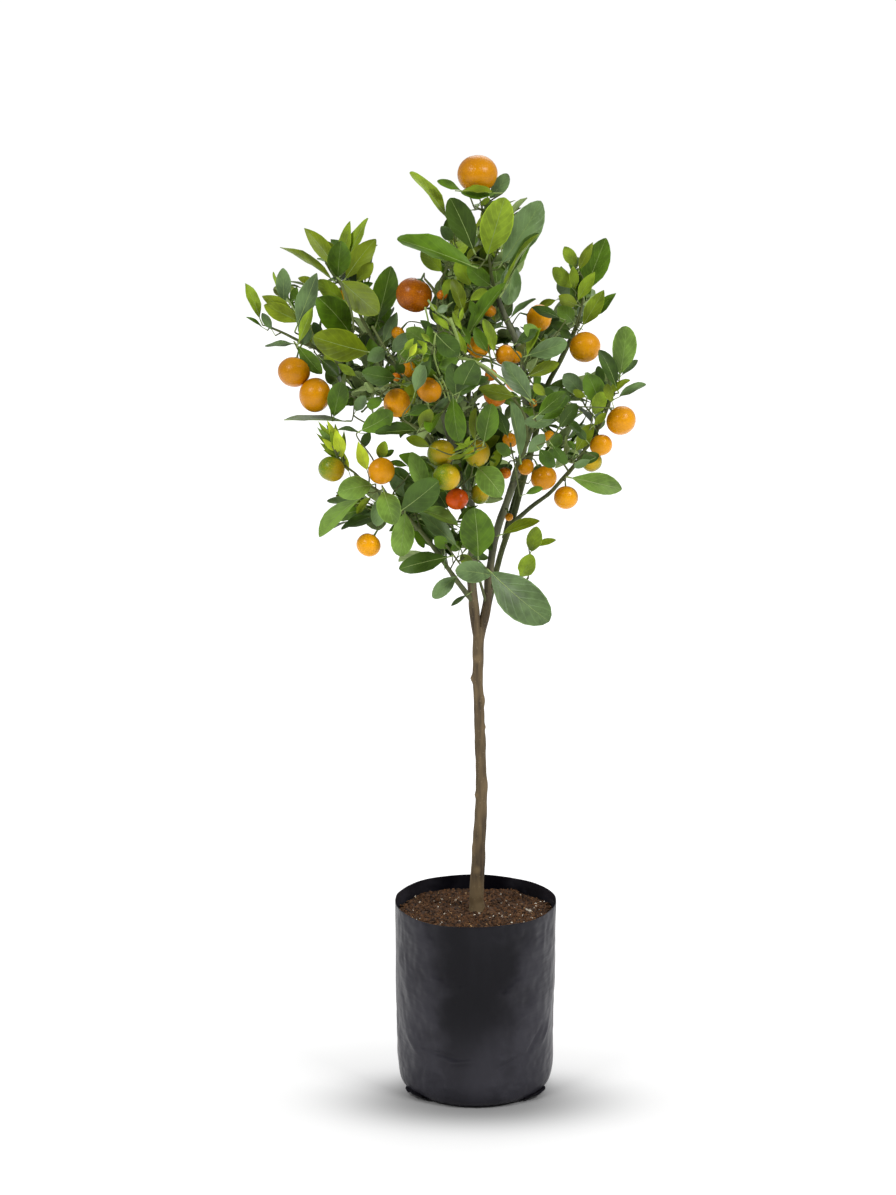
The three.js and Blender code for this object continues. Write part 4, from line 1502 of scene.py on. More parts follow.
CLUSTERS = (
    Cluster("top", -12, "FGGFSKFSDFSFGGSOFFDOFFG", (
        (447, 218, 410, 172, 12, 0), (460, 190, 437, 181, 9, 5), (472, 266, 397, 239, 22, 38),
        (441, 271, 421, 250, 17, 10), (452, 240, 441, 226, 12, -6), (473, 249, 450, 198, 27, 14),
        (488, 254, 505, 197, 33, 30), (502, 263, 541, 201, 33, 6), (508, 284, 538, 233, 9, 22),
        (503, 292, 538, 234, 4, 40), (512, 262, 508, 304, 23, 4), (470, 285, 455, 262, 16, 12),
        (490, 285, 467, 266, 18, 14), (466, 339, 506, 283, 14, 60), (490, 198, 508, 174, 15, -4),
        (462, 191, 492, 192, 8, 24), (480, 205, 489, 198, 6, 6), (470, 300, 487, 290, 10, 30),
        (453, 311, 450, 289, 8, 30), (463, 312, 452, 279, 14, 34), (444, 296, 450, 279, 9, 24),
        (494, 352, 483, 319, 12, 60), (496, 193, 461, 192, 13, 20))),
    Cluster("upper_left", 30, "OOGFFOOGSOGFOSLDGSDFGK", (
        (332, 279, 280, 247, 9, 0), (334, 266, 304, 228, 17, -4), (338, 277, 341, 240, 24, 16),
        (342, 262, 350, 221, 13, -4), (348, 260, 368, 218, 12, 0), (346, 278, 376, 239, 22, 8),
        (357, 281, 373, 262, 14, 16), (377, 322, 391, 266, 27, 20), (384, 342, 397, 312, 13, 34),
        (341, 281, 378, 313, 29, 30), (349, 332, 318, 297, 33, 14), (343, 300, 318, 280, 18, 4),
        (368, 352, 314, 337, 33, 50), (392, 352, 410, 333, 14, 110), (425, 342, 406, 329, 20, 112),
        (322, 338, 313, 322, 10, 6), (356, 288, 373, 283, 8, 6), (386, 350, 368, 360, 16, 104),
        (395, 378, 362, 372, 20, 126), (356, 376, 338, 364, 9, 50), (298, 346, 322, 374, 17, 30),
        (322, 360, 338, 376, 14, 34),
    ), 0.15),
    Cluster("left_tip", 20, "FGSOOSFSGSSO", (
        (260, 319, 245, 283, 12, 0), (262, 327, 246, 317, 4, 0), (284, 302, 283, 268, 16, -6),
        (294, 313, 262, 296, 14, 6), (300, 322, 264, 305, 18, 10), (297, 326, 317, 273, 21, 12),
        (299, 342, 313, 307, 11, 22), (296, 344, 265, 346, 6, 4), (291, 303, 297, 287, 8, 0),
        (272, 330, 262, 313, 9, 4), (302, 345, 311, 330, 9, 10), (316, 282, 298, 278, 8, 2),
    ), 0.12),
    Cluster("left_middle", -14, "GSSSGDDOOD", (
        (334, 416, 342, 381, 21, 4), (345, 421, 284, 420, 6, 0), (360, 433, 337, 430, 5, 6),
        (356, 411, 366, 395, 12, 6), (362, 430, 394, 412, 22, 74), (370, 432, 363, 446, 10, 14),
        (420, 430, 375, 433, 14, 92), (430, 447, 406, 438, 11, 86), (420, 428, 432, 409, 14, 110),
        (409, 413, 428, 407, 10, 104))),
    Cluster("new_shoot", -36, "FYFFYYYSFFLFFYG", (
        (338, 446, 318, 421, 7, 0), (338, 444, 327, 420, 7, 4), (340, 450, 335, 423, 7, 0),
        (338, 452, 316, 433, 6, 2), (342, 458, 335, 428, 13, 8), (349, 472, 341, 448, 8, 4),
        (367, 470, 358, 441, 13, 10), (367, 462, 364, 448, 6, 2), (340, 456, 320, 443, 7, 4),
        (342, 458, 344, 430, 6, -4), (338, 448, 317, 427, 7, 2), (341, 457, 323, 450, 7, 0),
        (341, 454, 330, 430, 8, 6), (338, 452, 322, 438, 7, 6), (336, 445, 326, 424, 6, -6),
    ), 0.7),
    Cluster("low_left", -50, "FGLSLDSLLDLG", (
        (380, 458, 385, 440, 13, 0), (381, 457, 394, 450, 7, 4), (371, 485, 339, 492, 24, 6),
        (357, 503, 327, 501, 9, 0), (359, 499, 319, 537, 18, 14), (373, 516, 341, 529, 9, 4),
        (381, 496, 377, 524, 17, 14), (384, 492, 393, 522, 25, 26), (405, 513, 400, 553, 24, 12),
        (402, 510, 440, 480, 30, 22), (427, 492, 411, 452, 19, 26), (407, 466, 390, 462, 7, 8))),
    Cluster("low_middle", -48, "LGDSSS", (
        (418, 510, 458, 525, 14, 10), (447, 548, 434, 537, 13, 0), (448, 557, 399, 569, 21, 6),
        (456, 577, 434, 597, 17, 4), (467, 595, 451, 606, 5, 0), (456, 545, 420, 511, 18, 0))),
    Cluster("skirt", -34, "GSFSOFFF", (
        (478, 556, 474, 504, 36, 12), (491, 575, 455, 570, 23, 14), (472, 566, 460, 554, 12, 0),
        (492, 573, 545, 618, 42, 24), (503, 534, 540, 521, 12, 10), (531, 551, 537, 525, 17, -6),
        (535, 546, 556, 540, 7, -8), (521, 577, 532, 553, 18, -2))),
    Cluster("centre", -96, "LGGSSSOGDDGDSD", (
        (478, 468, 500, 494, 28, -16), (453, 398, 459, 442, 22, 16), (484, 441, 492, 402, 24, 12),
        (520, 458, 510, 401, 14, 0), (556, 421, 524, 422, 15, 10), (528, 452, 545, 434, 14, 4),
        (475, 441, 476, 408, 9, 4), (510, 456, 496, 443, 12, -6), (456, 396, 452, 362, 20, 34),
        (459, 395, 476, 360, 27, 32), (458, 358, 440, 368, 14, 26), (460, 392, 489, 378, 12, 44),
        (531, 399, 503, 362, 23, 40), (437, 335, 458, 354, 22, 20))),
    Cluster("right_middle", -96, "SODFLSSGGDDKO", (
        (529, 355, 567, 342, 20, 6), (528, 376, 559, 363, 14, 8), (517, 343, 536, 329, 12, 14),
        (527, 356, 541, 328, 9, 12), (538, 338, 524, 324, 14, 4), (510, 318, 536, 299, 6, -84),
        (493, 329, 503, 322, 5, -84), (538, 415, 566, 392, 16, 40), (542, 419, 563, 408, 11, 30),
        (540, 450, 553, 466, 15, 24), (553, 446, 567, 464, 11, 18), (560, 427, 577, 403, 16, 14),
        (545, 395, 533, 384, 10, 34))),
    Cluster("upper_right", 52, "GOFFFFFGSOGDDDO", (
        (585, 292, 606, 238, 27, -6), (579, 270, 593, 242, 11, 6), (576, 266, 564, 246, 13, 2),
        (572, 288, 553, 267, 15, 2), (575, 290, 573, 266, 10, 10), (578, 300, 595, 272, 13, 14),
        (583, 325, 604, 290, 17, 8), (590, 319, 616, 293, 12, 0), (570, 296, 557, 281, 12, -10),
        (577, 305, 558, 296, 14, 14), (573, 322, 557, 306, 17, 12), (560, 318, 531, 307, 11, 62),
        (570, 330, 551, 324, 11, 0), (572, 338, 560, 330, 9, 4), (556, 300, 539, 305, 8, 4),
    ), 0.2),
    Cluster("right", -30, "LDSSDGSOOFOO", (
        (620, 374, 626, 326, 25, 4), (616, 387, 599, 350, 16, 12), (622, 375, 638, 360, 8, 0),
        (619, 397, 646, 384, 9, 0), (603, 385, 598, 366, 10, -4), (599, 403, 587, 373, 22, 14),
        (582, 393, 563, 373, 18, 8), (605, 398, 630, 380, 8, 12), (585, 397, 573, 390, 8, 14),
        (594, 414, 603, 391, 15, 20), (594, 425, 606, 413, 8, 16), (576, 451, 592, 424, 15, 8))),
    Cluster("left_curls", -112, "GFFFGFSDGGDDDGYFFFF", (
        (402, 358, 408, 345, 7, 0), (416, 352, 409, 343, 6, 4), (428, 347, 417, 340, 5, 0),
        (424, 353, 411, 350, 6, 6), (430, 350, 424, 358, 6, 0), (412, 357, 420, 348, 5, 8),
        (415, 392, 423, 361, 15, 16), (418, 379, 431, 360, 14, 6), (408, 415, 428, 406, 10, 0),
        (434, 382, 424, 366, 12, -10), (436, 372, 430, 352, 10, -10), (404, 374, 396, 360, 10, -10),
        (432, 330, 420, 320, 9, -24), (434, 345, 428, 326, 10, -20), (409, 357, 417, 343, 7, 12),
        (423, 356, 426, 342, 6, 12), (404, 350, 414, 338, 7, 8), (418, 366, 429, 357, 6, 10),
        (430, 342, 421, 333, 6, 4),
    ), 0.5),
    Cluster("middle_curls", -88, "FSFOFFFOFGOGGG", (
        (437, 311, 430, 304, 6, 0), (448, 305, 437, 312, 8, 4), (462, 330, 452, 312, 6, 6),
        (456, 328, 447, 316, 7, 4), (449, 330, 437, 317, 7, 6), (441, 326, 432, 312, 6, 0),
        (460, 322, 463, 307, 5, 0), (452, 320, 459, 308, 6, 0), (466, 357, 457, 330, 8, 10),
        (488, 352, 474, 326, 14, -10), (515, 396, 478, 388, 18, 12), (470, 345, 462, 326, 10, -6),
        (478, 318, 470, 300, 9, -20), (442, 340, 446, 322, 10, -14),
    ), 0.5),
    Cluster("low_curls", -92, "FFFFOFDG", (
        (475, 440, 452, 452, 5, 0), (478, 445, 458, 457, 4, 4), (470, 436, 462, 452, 5, 0),
        (480, 450, 462, 460, 4, 4), (466, 455, 447, 459, 5, 6), (470, 447, 454, 443, 4, 0),
        (508, 436, 497, 408, 14, -20), (481, 432, 470, 410, 10, -16),
    ), 0.8),
    Cluster("low_inner", -34, "DKKOSGGDSGDODGDD", (
        (412, 480, 394, 468, 11, 0), (425, 505, 404, 484, 18, 0), (441, 508, 416, 500, 14, 0),
        (371, 497, 357, 514, 8, 24), (392, 512, 346, 526, 15, -6), (446, 492, 428, 472, 16, -10),
        (432, 500, 420, 462, 20, -16), (447, 508, 424, 474, 24, -24), (404, 497, 391, 472, 15, -8),
        (432, 472, 399, 455, 15, -20), (421, 490, 398, 474, 13, -14), (440, 482, 412, 462, 17, -30),
        (400, 476, 388, 466, 7, 4), (412, 530, 424, 548, 9, 0), (398, 497, 414, 512, 12, 0),
        (437, 540, 421, 527, 10, -4))),
    Cluster("right_inner", -84, "DDGGSGDDDDDO", (
        (543, 413, 569, 396, 14, 20), (567, 419, 580, 432, 10, 0), (551, 447, 562, 434, 12, 10),
        (575, 450, 568, 441, 6, 0), (590, 460, 574, 467, 9, -4), (526, 494, 543, 488, 8, 0),
        (556, 402, 545, 388, 9, -10), (570, 402, 560, 388, 10, -8), (532, 478, 541, 464, 9, -70),
        (562, 458, 548, 450, 9, -10), (586, 440, 576, 428, 9, -6), (612, 402, 606, 384, 10, -4))),
    Cluster("right_low", -28, "LD", (
        (572, 478, 622, 489, 22, 8), (580, 461, 599, 455, 12, 22))),
)

# The crown's outline in picture units, right and down, clockwise from the left of its tower.
CROWN_OUTLINE = (
    (440, 268), (420, 252), (420, 244), (405, 240), (430, 236), (445, 242), (446, 228), (447, 214),
    (452, 204), (463, 199), (474, 198), (484, 203), (505, 198), (510, 203), (522, 204), (540, 202),
    (542, 216), (536, 236), (525, 258), (520, 272), (519, 287), (510, 301), (503, 303), (510, 318),
    (517, 333), (527, 328), (542, 323), (556, 320), (555, 306), (557, 280), (556, 268), (563, 262),
    (564, 248), (572, 255), (580, 262), (588, 250), (600, 241), (607, 243), (607, 256), (601, 273),
    (594, 288), (604, 291), (612, 295), (600, 309), (585, 323), (570, 337), (556, 335), (563, 342),
    (556, 352), (541, 360), (556, 365), (532, 380), (547, 392), (556, 386), (563, 373), (573, 377),
    (580, 388), (584, 375), (590, 372), (601, 378), (600, 352), (612, 357), (619, 370), (617, 385),
    (612, 400), (603, 425), (590, 445), (598, 458), (600, 466), (590, 472), (575, 462), (568, 470),
    (553, 462), (534, 470), (531, 487), (541, 493), (517, 500), (505, 512), (500, 500), (498, 480),
    (493, 500), (492, 540), (486, 560), (489, 572), (478, 583), (462, 582), (452, 567), (440, 563),
    (403, 570), (401, 561), (412, 549), (432, 549), (425, 532), (413, 540), (403, 550), (394, 545),
    (388, 522), (372, 521), (345, 527), (323, 533), (326, 520), (345, 505), (330, 501), (340, 490),
    (352, 476), (370, 480), (384, 488), (398, 470), (412, 460), (425, 455), (430, 447), (400, 434),
    (375, 440), (361, 434), (372, 425), (362, 418), (366, 405), (352, 404), (340, 415), (328, 408),
    (335, 380), (345, 376), (333, 378), (322, 366), (310, 348), (298, 342), (300, 335), (290, 322),
    (265, 312), (264, 298), (275, 295), (274, 275), (284, 269), (290, 280), (299, 278), (316, 274),
    (322, 282), (335, 280), (322, 262), (328, 258), (306, 235), (306, 228), (320, 238), (330, 242),
    (340, 240), (345, 226), (352, 240), (370, 244), (374, 240), (373, 255), (366, 278), (378, 272),
    (390, 267), (399, 282), (398, 300), (393, 322), (396, 340), (405, 332), (420, 328), (430, 330),
    (430, 300), (436, 288), (441, 283),
)

# Ellipses in picture units where the sky shows through the crown: centre, then half width and height.
SKY_GAPS = (
    (544, 377, 8, 6), (501, 336, 5, 8), (581, 410, 4, 7), (430, 534, 7, 7), (503, 462, 8, 5),
    (550, 332, 6, 3), (361, 362, 5, 4), (417, 541, 6, 4), (512, 397, 3, 4), (567, 433, 3, 4),
    (423, 455, 5, 7),
)


@dataclass(frozen=True)
class Mass:
    """A lobe of the crown: the frame's node whose box it fills, its leaves, and its usual tints.

    Its sprays may reach as many mm behind the box as it is deeper.
    """

    node: str
    leaves: int
    tints: str = "DDGGGSO"
    deeper: float = 0.0


# The K tint, painted shade, goes mostly to the masses inside the crown and at its back.
MASSES = (
    Mass("foliage_top", 60, "DGGOF"),
    Mass("foliage_upper_left", 60, "DGGSO"),
    Mass("foliage_left_tip", 35, "GOOF"),
    Mass("foliage_upper_right", 55, "DGGO"),
    Mass("foliage_right", 45, "DGGSO", 50.0),
    Mass("foliage_right_low", 20, "DGG", 50.0),
    Mass("foliage_right_middle", 105, "KDGGSO", 85.0),
    Mass("foliage_left_middle", 75, "KDGGSO", 40.0),
    Mass("foliage_low_left", 60, "DGGSO", 50.0),
    Mass("foliage_low_middle", 40, "DG", 40.0),
    Mass("foliage_skirt_left", 14, "DG", 20.0),
    Mass("foliage_skirt_right", 10, "DG", 20.0),
    Mass("foliage_centre_low", 60, "KKDGO", 50.0),
    Mass("foliage_centre", 120, "KKDGO", 90.0),
    Mass("foliage_centre_top", 105, "KDDGO", 85.0),
    Mass("foliage_front_left", 60, "DGGSO", 30.0),
    Mass("foliage_front_right", 60, "DGGSO", 30.0),
    Mass("foliage_back_low", 80, "KKDG"),
    Mass("foliage_back_left", 90, "KDDGGSO"),
    Mass("foliage_back_right", 90, "KDDGGSO"),
    Mass("foliage_back_top", 80, "DGGOF"),
)


@dataclass
class Foliage:
    """Where leaves grow: those of the clusters, and the sprays that fill each mass behind them.

    Lengths are in mm. A span holds the least and the most of what is drawn at random, or the values
    at the start and the end of what it changes along.
    """

    sight: Sight
    random: np.random.Generator
    fruit: "Fruits"
    slimness: float = 0.45
    widest: float = 0.52
    slimmest: float = 0.28
    most_turned: float = 0.12
    turn_middle: Place = (0.0, 0.0, 700.0)
    tries: int = 460
    shortest: float = 14.0
    spray_fill: Span = (0.02, 0.6)
    spray_room: float = 14.0
    spray_least: int = 2
    spray_seen: float = 0.7
    leaf_seen: float = 0.8
    leaf_cover: float = 0.4
    leaf_clear: float = 5.0
    fruit_clear: float = 2.0
    leaves_per_spray: tuple[int, int] = (5, 9)
    leafy: float = 0.72
    spacing: float = 9.0
    outer: float = 0.7
    spread: Span = (0.35, 1.25)
    lengths: Span = (22.0, 50.0)
    youngest: float = 0.7
    rises: float = 0.15
    leans_out: float = 0.25
    faces_up: float = 0.75
    faces_out: float = 0.55
    shapes: Span = (0.38, 0.58)
    points: Span = (0.15, 0.85)
    scatter: float = 0.36

    def __post_init__(self) -> None:
        """Places the clusters' leaves."""
        self.named = self.cluster_leaves()

    def cluster_leaves(self) -> Leaves:
        """Leaves of every cluster.

        A blade that looks wider than the widest shape leans towards the camera until its real length
        is width / widest. One that looks slimmer than the slimness is turned about its axis by
        acos(seen width / real width), towards the sky.

        Returns:
            The leaves, in the order of the tables.
        """
        for cluster in CLUSTERS:
            LOG.info("cluster %s: %d leaves", cluster.name, len(cluster.rows))
        table = [(*row, cluster.depth) for cluster in CLUSTERS for row in cluster.rows]
        foot_at, tip_at, width, nearer, depth = np.split(np.array(table, float), [2, 4, 5, 6], axis=1)
        level = (depth - nearer).ravel()
        foot = self.sight.to_frame(foot_at, level)
        tip = self.sight.to_frame(tip_at, level)
        scale = (level - self.sight.place[1]) / self.sight.focal
        seen_width = width.ravel() * scale
        seen_length = norms(tip - foot)
        length = np.maximum(seen_length, seen_width / self.widest)
        view = unit(np.asarray(self.sight.place) - foot)
        tip = tip + view * np.sqrt(np.maximum(length**2 - seen_length**2, 0))[:, None]
        axis = unit(tip - foot)
        pointed = np.array([cluster.pointed for cluster in CLUSTERS for _ in cluster.rows])
        full_width = np.maximum(self.slimness * (1 - pointed) * length, seen_width)
        turn = np.arccos(np.clip(seen_width / full_width, self.most_turned, 1.0))[:, None]
        facing = across(view, axis)
        side = np.cross(axis, facing)
        side *= np.sign(np.sum(side * (UP + 0.3 * unit(foot - self.turn_middle)), axis=1, keepdims=True))
        tint = np.array([TINTS.index(Tint(letter)) for cluster in CLUSTERS for letter in cluster.tints])
        slim = np.interp(full_width / length, (self.slimmest, self.widest), (0.9, 0.0))
        facing = facing * np.cos(turn) + side * np.sin(turn)
        return Leaves(foot, axis, facing, length, full_width, tint, np.clip(slim + pointed, 0, 1))

    def spray_leaves(self, path: Array, tints: str, outward: Array) -> Leaves:
        """Leaves along the outer part of a twig, each a golden angle round from the last.

        Args:
            path: the twig's path.
            tints: letters to choose from.
            outward: the direction away from the middle of the crown.

        Returns:
            The leaves, the youngest at the tip first.
        """
        heading = unit(path[-1] - path[-4])
        along = np.concatenate([[0], np.cumsum(norms(np.diff(path, axis=0)))])
        count = int(np.clip(round(along[-1] * self.leafy / self.spacing), *self.leaves_per_spray))
        places = along[-1] - np.linspace(0, 1, count) * along[-1] * self.outer
        foot = np.stack([np.interp(places, along, path[:, k]) for k in range(3)], axis=1)
        side = across(np.cross(heading, UP) + 1e-3, heading)
        lift = np.cross(side, heading)
        angle = self.random.uniform(0, TURN) + GOLDEN_ANGLE * np.arange(count)[:, None]
        spoke = np.cos(angle) * side + np.sin(angle) * lift
        spread = np.linspace(*self.spread, count)[:, None]
        axis = unit(heading + spoke * spread + UP * self.rises + outward * self.leans_out)
        grown = np.interp(np.arange(count), [0, 1.5, count], [self.youngest, 1, 1])
        length = self.random.uniform(*self.lengths, count) * grown
        scatter = self.random.normal(0, self.scatter, (count, 3))
        face = unit(across(UP * self.faces_up + outward * self.faces_out + scatter, axis))
        chosen = self.random.integers(0, len(tints), count)
        tint = np.array([TINTS.index(Tint(tints[k])) for k in chosen])
        width = length * self.random.uniform(*self.shapes, count)
        pointed = self.random.uniform(*self.points, count)
        return Leaves(foot + stalks(axis), axis, face, length, width, tint, pointed)

    def within_outline(self, seen: Array) -> Array:
        """Which picture places lie in the crown's outline and in none of its sky gaps.

        A place lies inside where a line from it to the right crosses the outline an odd number of times.

        Args:
            seen: picture places, shaped (..., 2).

        Returns:
            True for each place that does.
        """
        start = np.array(CROWN_OUTLINE, float)
        end = np.roll(start, -1, axis=0)
        right, down = seen[..., 0, None], seen[..., 1, None]
        spans = (start[:, 1] > down) != (end[:, 1] > down)
        fall = np.where(end[:, 1] == start[:, 1], 1.0, end[:, 1] - start[:, 1])
        crossing = start[:, 0] + (down - start[:, 1]) * (end[:, 0] - start[:, 0]) / fall
        inside = np.sum(spans & (right < crossing), axis=-1) % 2 == 1
        sky = np.array(SKY_GAPS, float)
        from_gaps = norms((seen[..., None, :] - sky[:, :2]) / sky[:, 2:])
        return inside & np.all(from_gaps > 1, axis=-1)

    def hidden(self, leaves: Leaves) -> Array:
        """Which leaves may stay: inside the crown's outline and behind every cluster leaf and fruit.

        Args:
            leaves: the leaves to test.

        Returns:
            True for each leaf that may stay.
        """
        named, fruit = self.named, self.fruit
        samples = leaves.samples()
        seen = self.sight.to_picture(samples)
        near = samples[:, :, None, 1]
        start = self.sight.to_picture(named.foot)
        line = self.sight.to_picture(named.foot + named.axis * named.length[:, None]) - start
        aside = seen[:, :, None] - start
        share = np.clip(np.sum(aside * line, axis=-1) / np.maximum(np.sum(line * line, axis=-1), 1), 0, 1)
        gap = norms(aside - share[..., None] * line) - named.width * self.leaf_cover
        before_leaf = (gap < 0) & (near < named.foot[:, 1] + self.leaf_clear)
        from_fruit = norms(seen[:, :, None] - self.sight.to_picture(fruit.centre))
        before_fruit = from_fruit < fruit.radius + self.fruit_clear
        before_fruit &= near < fruit.centre[:, 1] + fruit.radius
        inside = self.within_outline(seen).mean(axis=1) > self.leaf_seen
        return inside & ~before_leaf.any(axis=(1, 2)) & ~before_fruit.any(axis=(1, 2))

    def grow_sprays(self, wood: Wood) -> list[Leaves]:
        """Grows sprays in every mass until it has its leaves.

        A spray's tip lies at random in the mass's ellipsoid, at least the shortest twig from any wood.
        It is kept if it lies within the crown's outline and keeps enough leaves.

        Args:
            wood: what the twigs grow from, and what keeps them.

        Returns:
            The leaves of each spray.
        """
        kept = []
        for mass in MASSES:
            low, high = (np.array(corner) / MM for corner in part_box(mass.node))
            high[1] += mass.deeper
            total = 0
            ball = unit(self.random.normal(size=(self.tries, 3)))
            ball = ball * self.random.uniform(*self.spray_fill, (self.tries, 1)) ** (1 / 3)
            for tip in (low + high) / 2 + ball * (high - low) / 2:
                if total >= mass.leaves or np.min(norms(wood.points - tip)) < self.shortest:
                    continue
                outward = unit((tip - CROWN_MIDDLE) * (1, 1, 0.6))
                index, path = wood.reach(tip, unit(outward + UP * 0.5))
                leaves = self.spray_leaves(path, mass.tints, outward)
                samples = leaves.samples()
                room = (samples > low - self.spray_room) & (samples < high + self.spray_room)
                leaves = leaves.picked(self.hidden(leaves) & room.all(axis=(1, 2)))
                in_view = self.within_outline(self.sight.to_picture(path)).mean()
                if len(leaves.length) >= self.spray_least and in_view > self.spray_seen:
                    wood.keep(index, path)
                    kept.append(leaves)
                    total += len(leaves.length)
            LOG.info("%s: %d leaves", mass.node, total)
        return kept


@dataclass
class Blades:
    """The shapes of leaves, in mm: blades with an underside, stalks and midribs.

    A span holds the least and the most of what each leaf draws, but a rib's radii are those of its
    start and its end.
    """

    random: np.random.Generator
    bends: Span = (0.01, 0.07)
    sways: Span = (-0.03, 0.03)
    folds: Span = (0.05, 0.42)
    waves: Span = (0.01, 0.06)
    wave_turns: Span = (1.2, 2.4)
    wave_shift: float = 1.7
    thickness: float = 0.35
    rows: int = 11
    columns: int = 5
    petiole_rows: int = 4
    petiole_trail: float = 3.5
    petiole_radius: float = 0.72
    rib_radii: Span = (0.58, 0.2)
    rib_depth: float = 0.2
    rib_sides: int = 4
    usual_length: float = 45.0

    def spines(self, leaves: Leaves) -> tuple[Array, Array]:
        """Middle lines of blades: foot + L t axis + 4 L t (1 - t) (bend face + sway side).

        Args:
            leaves: the blades.

        Returns:
            Lines shaped (n, rows, 3), and t of each row, closest together at the ends.
        """
        count = len(leaves.length)
        bend = self.random.uniform(*self.bends, count)[:, None, None]
        sway = self.random.uniform(*self.sways, count)[:, None, None]
        t = (0.5 - 0.5 * np.cos(np.linspace(0, math.pi, self.rows)))[None, :, None]
        side = np.cross(leaves.axis, leaves.face)
        bow = bend * leaves.face[:, None] + sway * side[:, None]
        way = leaves.length[:, None, None] * (t * leaves.axis[:, None] + 4 * t * (1 - t) * bow)
        return leaves.foot[:, None] + way, t[..., 0]

    def shapes(self, leaves: Leaves) -> tuple[Array, Array, Array]:
        """Points of upper sides, undersides and middle lines.

        Half width is W / 2 sin(pi t^p)^q (0.7 + 0.3 min(1, t / 0.35)). From round to pointed blades, p
        goes from 1.25 to 0.85, give or take 0.08, and q from 0.46 to 1.06. Across a blade, u from -1
        to 1, the two halves rise by the fold, and the edge waves.

        Args:
            leaves: the blades to shape.

        Returns:
            Upper sides and undersides shaped (n, rows, columns, 3), and middle lines (n, rows, 3).
        """
        count = len(leaves.length)
        spine, t = self.spines(leaves)
        pointed = leaves.pointed[:, None]
        power = 1.25 - 0.4 * pointed + self.random.uniform(-0.08, 0.08, (count, 1))
        swell = np.maximum(np.sin(math.pi * np.clip(t, 0.001, 0.999) ** power), 0.004)
        half = leaves.width[:, None] / 2 * swell ** (0.46 + 0.6 * pointed)
        half = (half * (0.7 + 0.3 * np.minimum(1, t / 0.35)))[..., None]
        u = np.linspace(-1, 1, self.columns)
        fold = self.random.uniform(*self.folds, count)[:, None, None]
        turn = t[..., None] * self.random.uniform(*self.wave_turns, (count, 1, 1))
        turn = TURN * (turn + self.random.uniform(0, 1, (count, 1, 1)))
        wave = self.random.uniform(*self.waves, count)[:, None, None]
        wave = wave * np.sin(turn + (u > 0) * self.wave_shift)
        side = np.cross(leaves.axis, leaves.face)[:, None, None]
        face = leaves.face[:, None, None]
        rise = np.abs(u) * half * np.sin(fold) + wave * u**2 * leaves.width[:, None, None]
        upper = spine[:, :, None] + side * (u * half * np.cos(fold))[..., None] + face * rise[..., None]
        under = upper - face * (self.thickness * (1 - u**2))[:, None]
        return upper, under, spine

    def tones(self, count: int, named: int, chart: Array) -> Array:
        """Tones of every blade's points: its own, a step between its halves, painted light and shade
        with one half lit and the other shaded, and a slope to its tip.

        Args:
            count: how many blades.
            named: how many of them, the first ones, come from the clusters and differ less.
            chart: u across and v along a blade for each of its points, from 0 to 1.

        Returns:
            Tones shaped (count, points of a blade).
        """
        # painted light and shade: one half of each blade lighter, the other darker
        half = self.random.uniform(-0.3, 0.3, (count, 1))
        slope = self.random.uniform(-0.5, 0.5, (count, 1))
        first = (np.arange(count) < named)[:, None]
        own = self.random.uniform(0.25, 0.75, (count, 1)) * first
        own += self.random.uniform(0, 0.9, (count, 1)) * ~first
        u, v = chart.reshape(-1, 2).T
        return own + half * np.clip(4 * u - 2, -1, 1) + slope * (v - 0.5)

    def build(self, leaves: Leaves, named: int) -> None:
        """Makes the blades tint by tint, their undersides, and their stalks with the midribs.

        Args:
            leaves: every leaf of the crown.
            named: how many of them, the first ones, come from the clusters.
        """
        upper, under, spine = self.shapes(leaves)
        rows, columns = self.rows, self.columns
        faces = grid_faces(rows, columns, wrap=False)
        v, u = np.meshgrid(np.linspace(0, 1, rows), np.linspace(0, 1, columns), indexing="ij")
        chart = np.stack([u, v], axis=-1).reshape(1, -1, 2)
        tone = self.tones(len(leaves.length), named, chart)
        stands_for = [mass.node for mass in MASSES]
        for number, tint in enumerate(TINTS):
            chosen = leaves.tint == number
            heap = Heap()
            heap.add(upper[chosen], [faces], tone[chosen], chart)
            finish = LEAF_FINISHES[tint]
            heap.make(finish.name, finish.material(), () if number else stands_for)
        heap = Heap()
        heap.add(under, [faces[:, [0, 3, 2, 1]]], tone, chart)
        finish = LeafFinish("leaf_underside", paint(126, 144, 88), 0.65, 0.2)
        heap.make("leaf_undersides", finish.material())
        self.build_ribs(leaves, spine)

    def build_ribs(self, leaves: Leaves, spine: Array) -> None:
        """Makes stalk and midrib in one tube each, thickest in the stalk and finest at the leaf's tip.

        Args:
            leaves: every leaf of the crown.
            spine: the blades' middle lines, shaped (n, rows, 3).
        """
        t = np.linspace(0, 1, self.petiole_rows, endpoint=False)[None, :, None]
        foot = leaves.foot[:, None]
        trail = foot - leaves.axis[:, None] * self.petiole_trail
        joint = foot - stalks(leaves.axis)[:, None]
        curve = (1 - t) ** 2 * joint + 2 * t * (1 - t) * trail + t**2 * foot
        paths = np.concatenate([curve, spine - leaves.face[:, None] * self.rib_depth], axis=1)
        stalk = np.full(self.petiole_rows, self.petiole_radius)
        radii = np.concatenate([stalk, np.linspace(*self.rib_radii, self.rows)])
        radii = radii * (leaves.length[:, None] / self.usual_length).clip(0.55, 1.2)
        heap = Heap()
        heap.add_rings(tube_grid(paths, radii, self.rib_sides), self.random.uniform(0.3, 0.9, len(paths)))
        finish = StalkFinish("midribs", paint(96, 124, 50), paint(150, 172, 96))
        heap.make("leaf_ribs", finish.material())


# ---------------- fruit


class Ripeness(Enum):
    """Colours of fruit, by the letter that the table uses."""

    # painted light: a brighter copy of the orange for the fruit the light falls on most
    GOLDEN = "Y"
    ORANGE = "A"
    DEEP = "B"
    RED = "R"
    TURNING = "T"


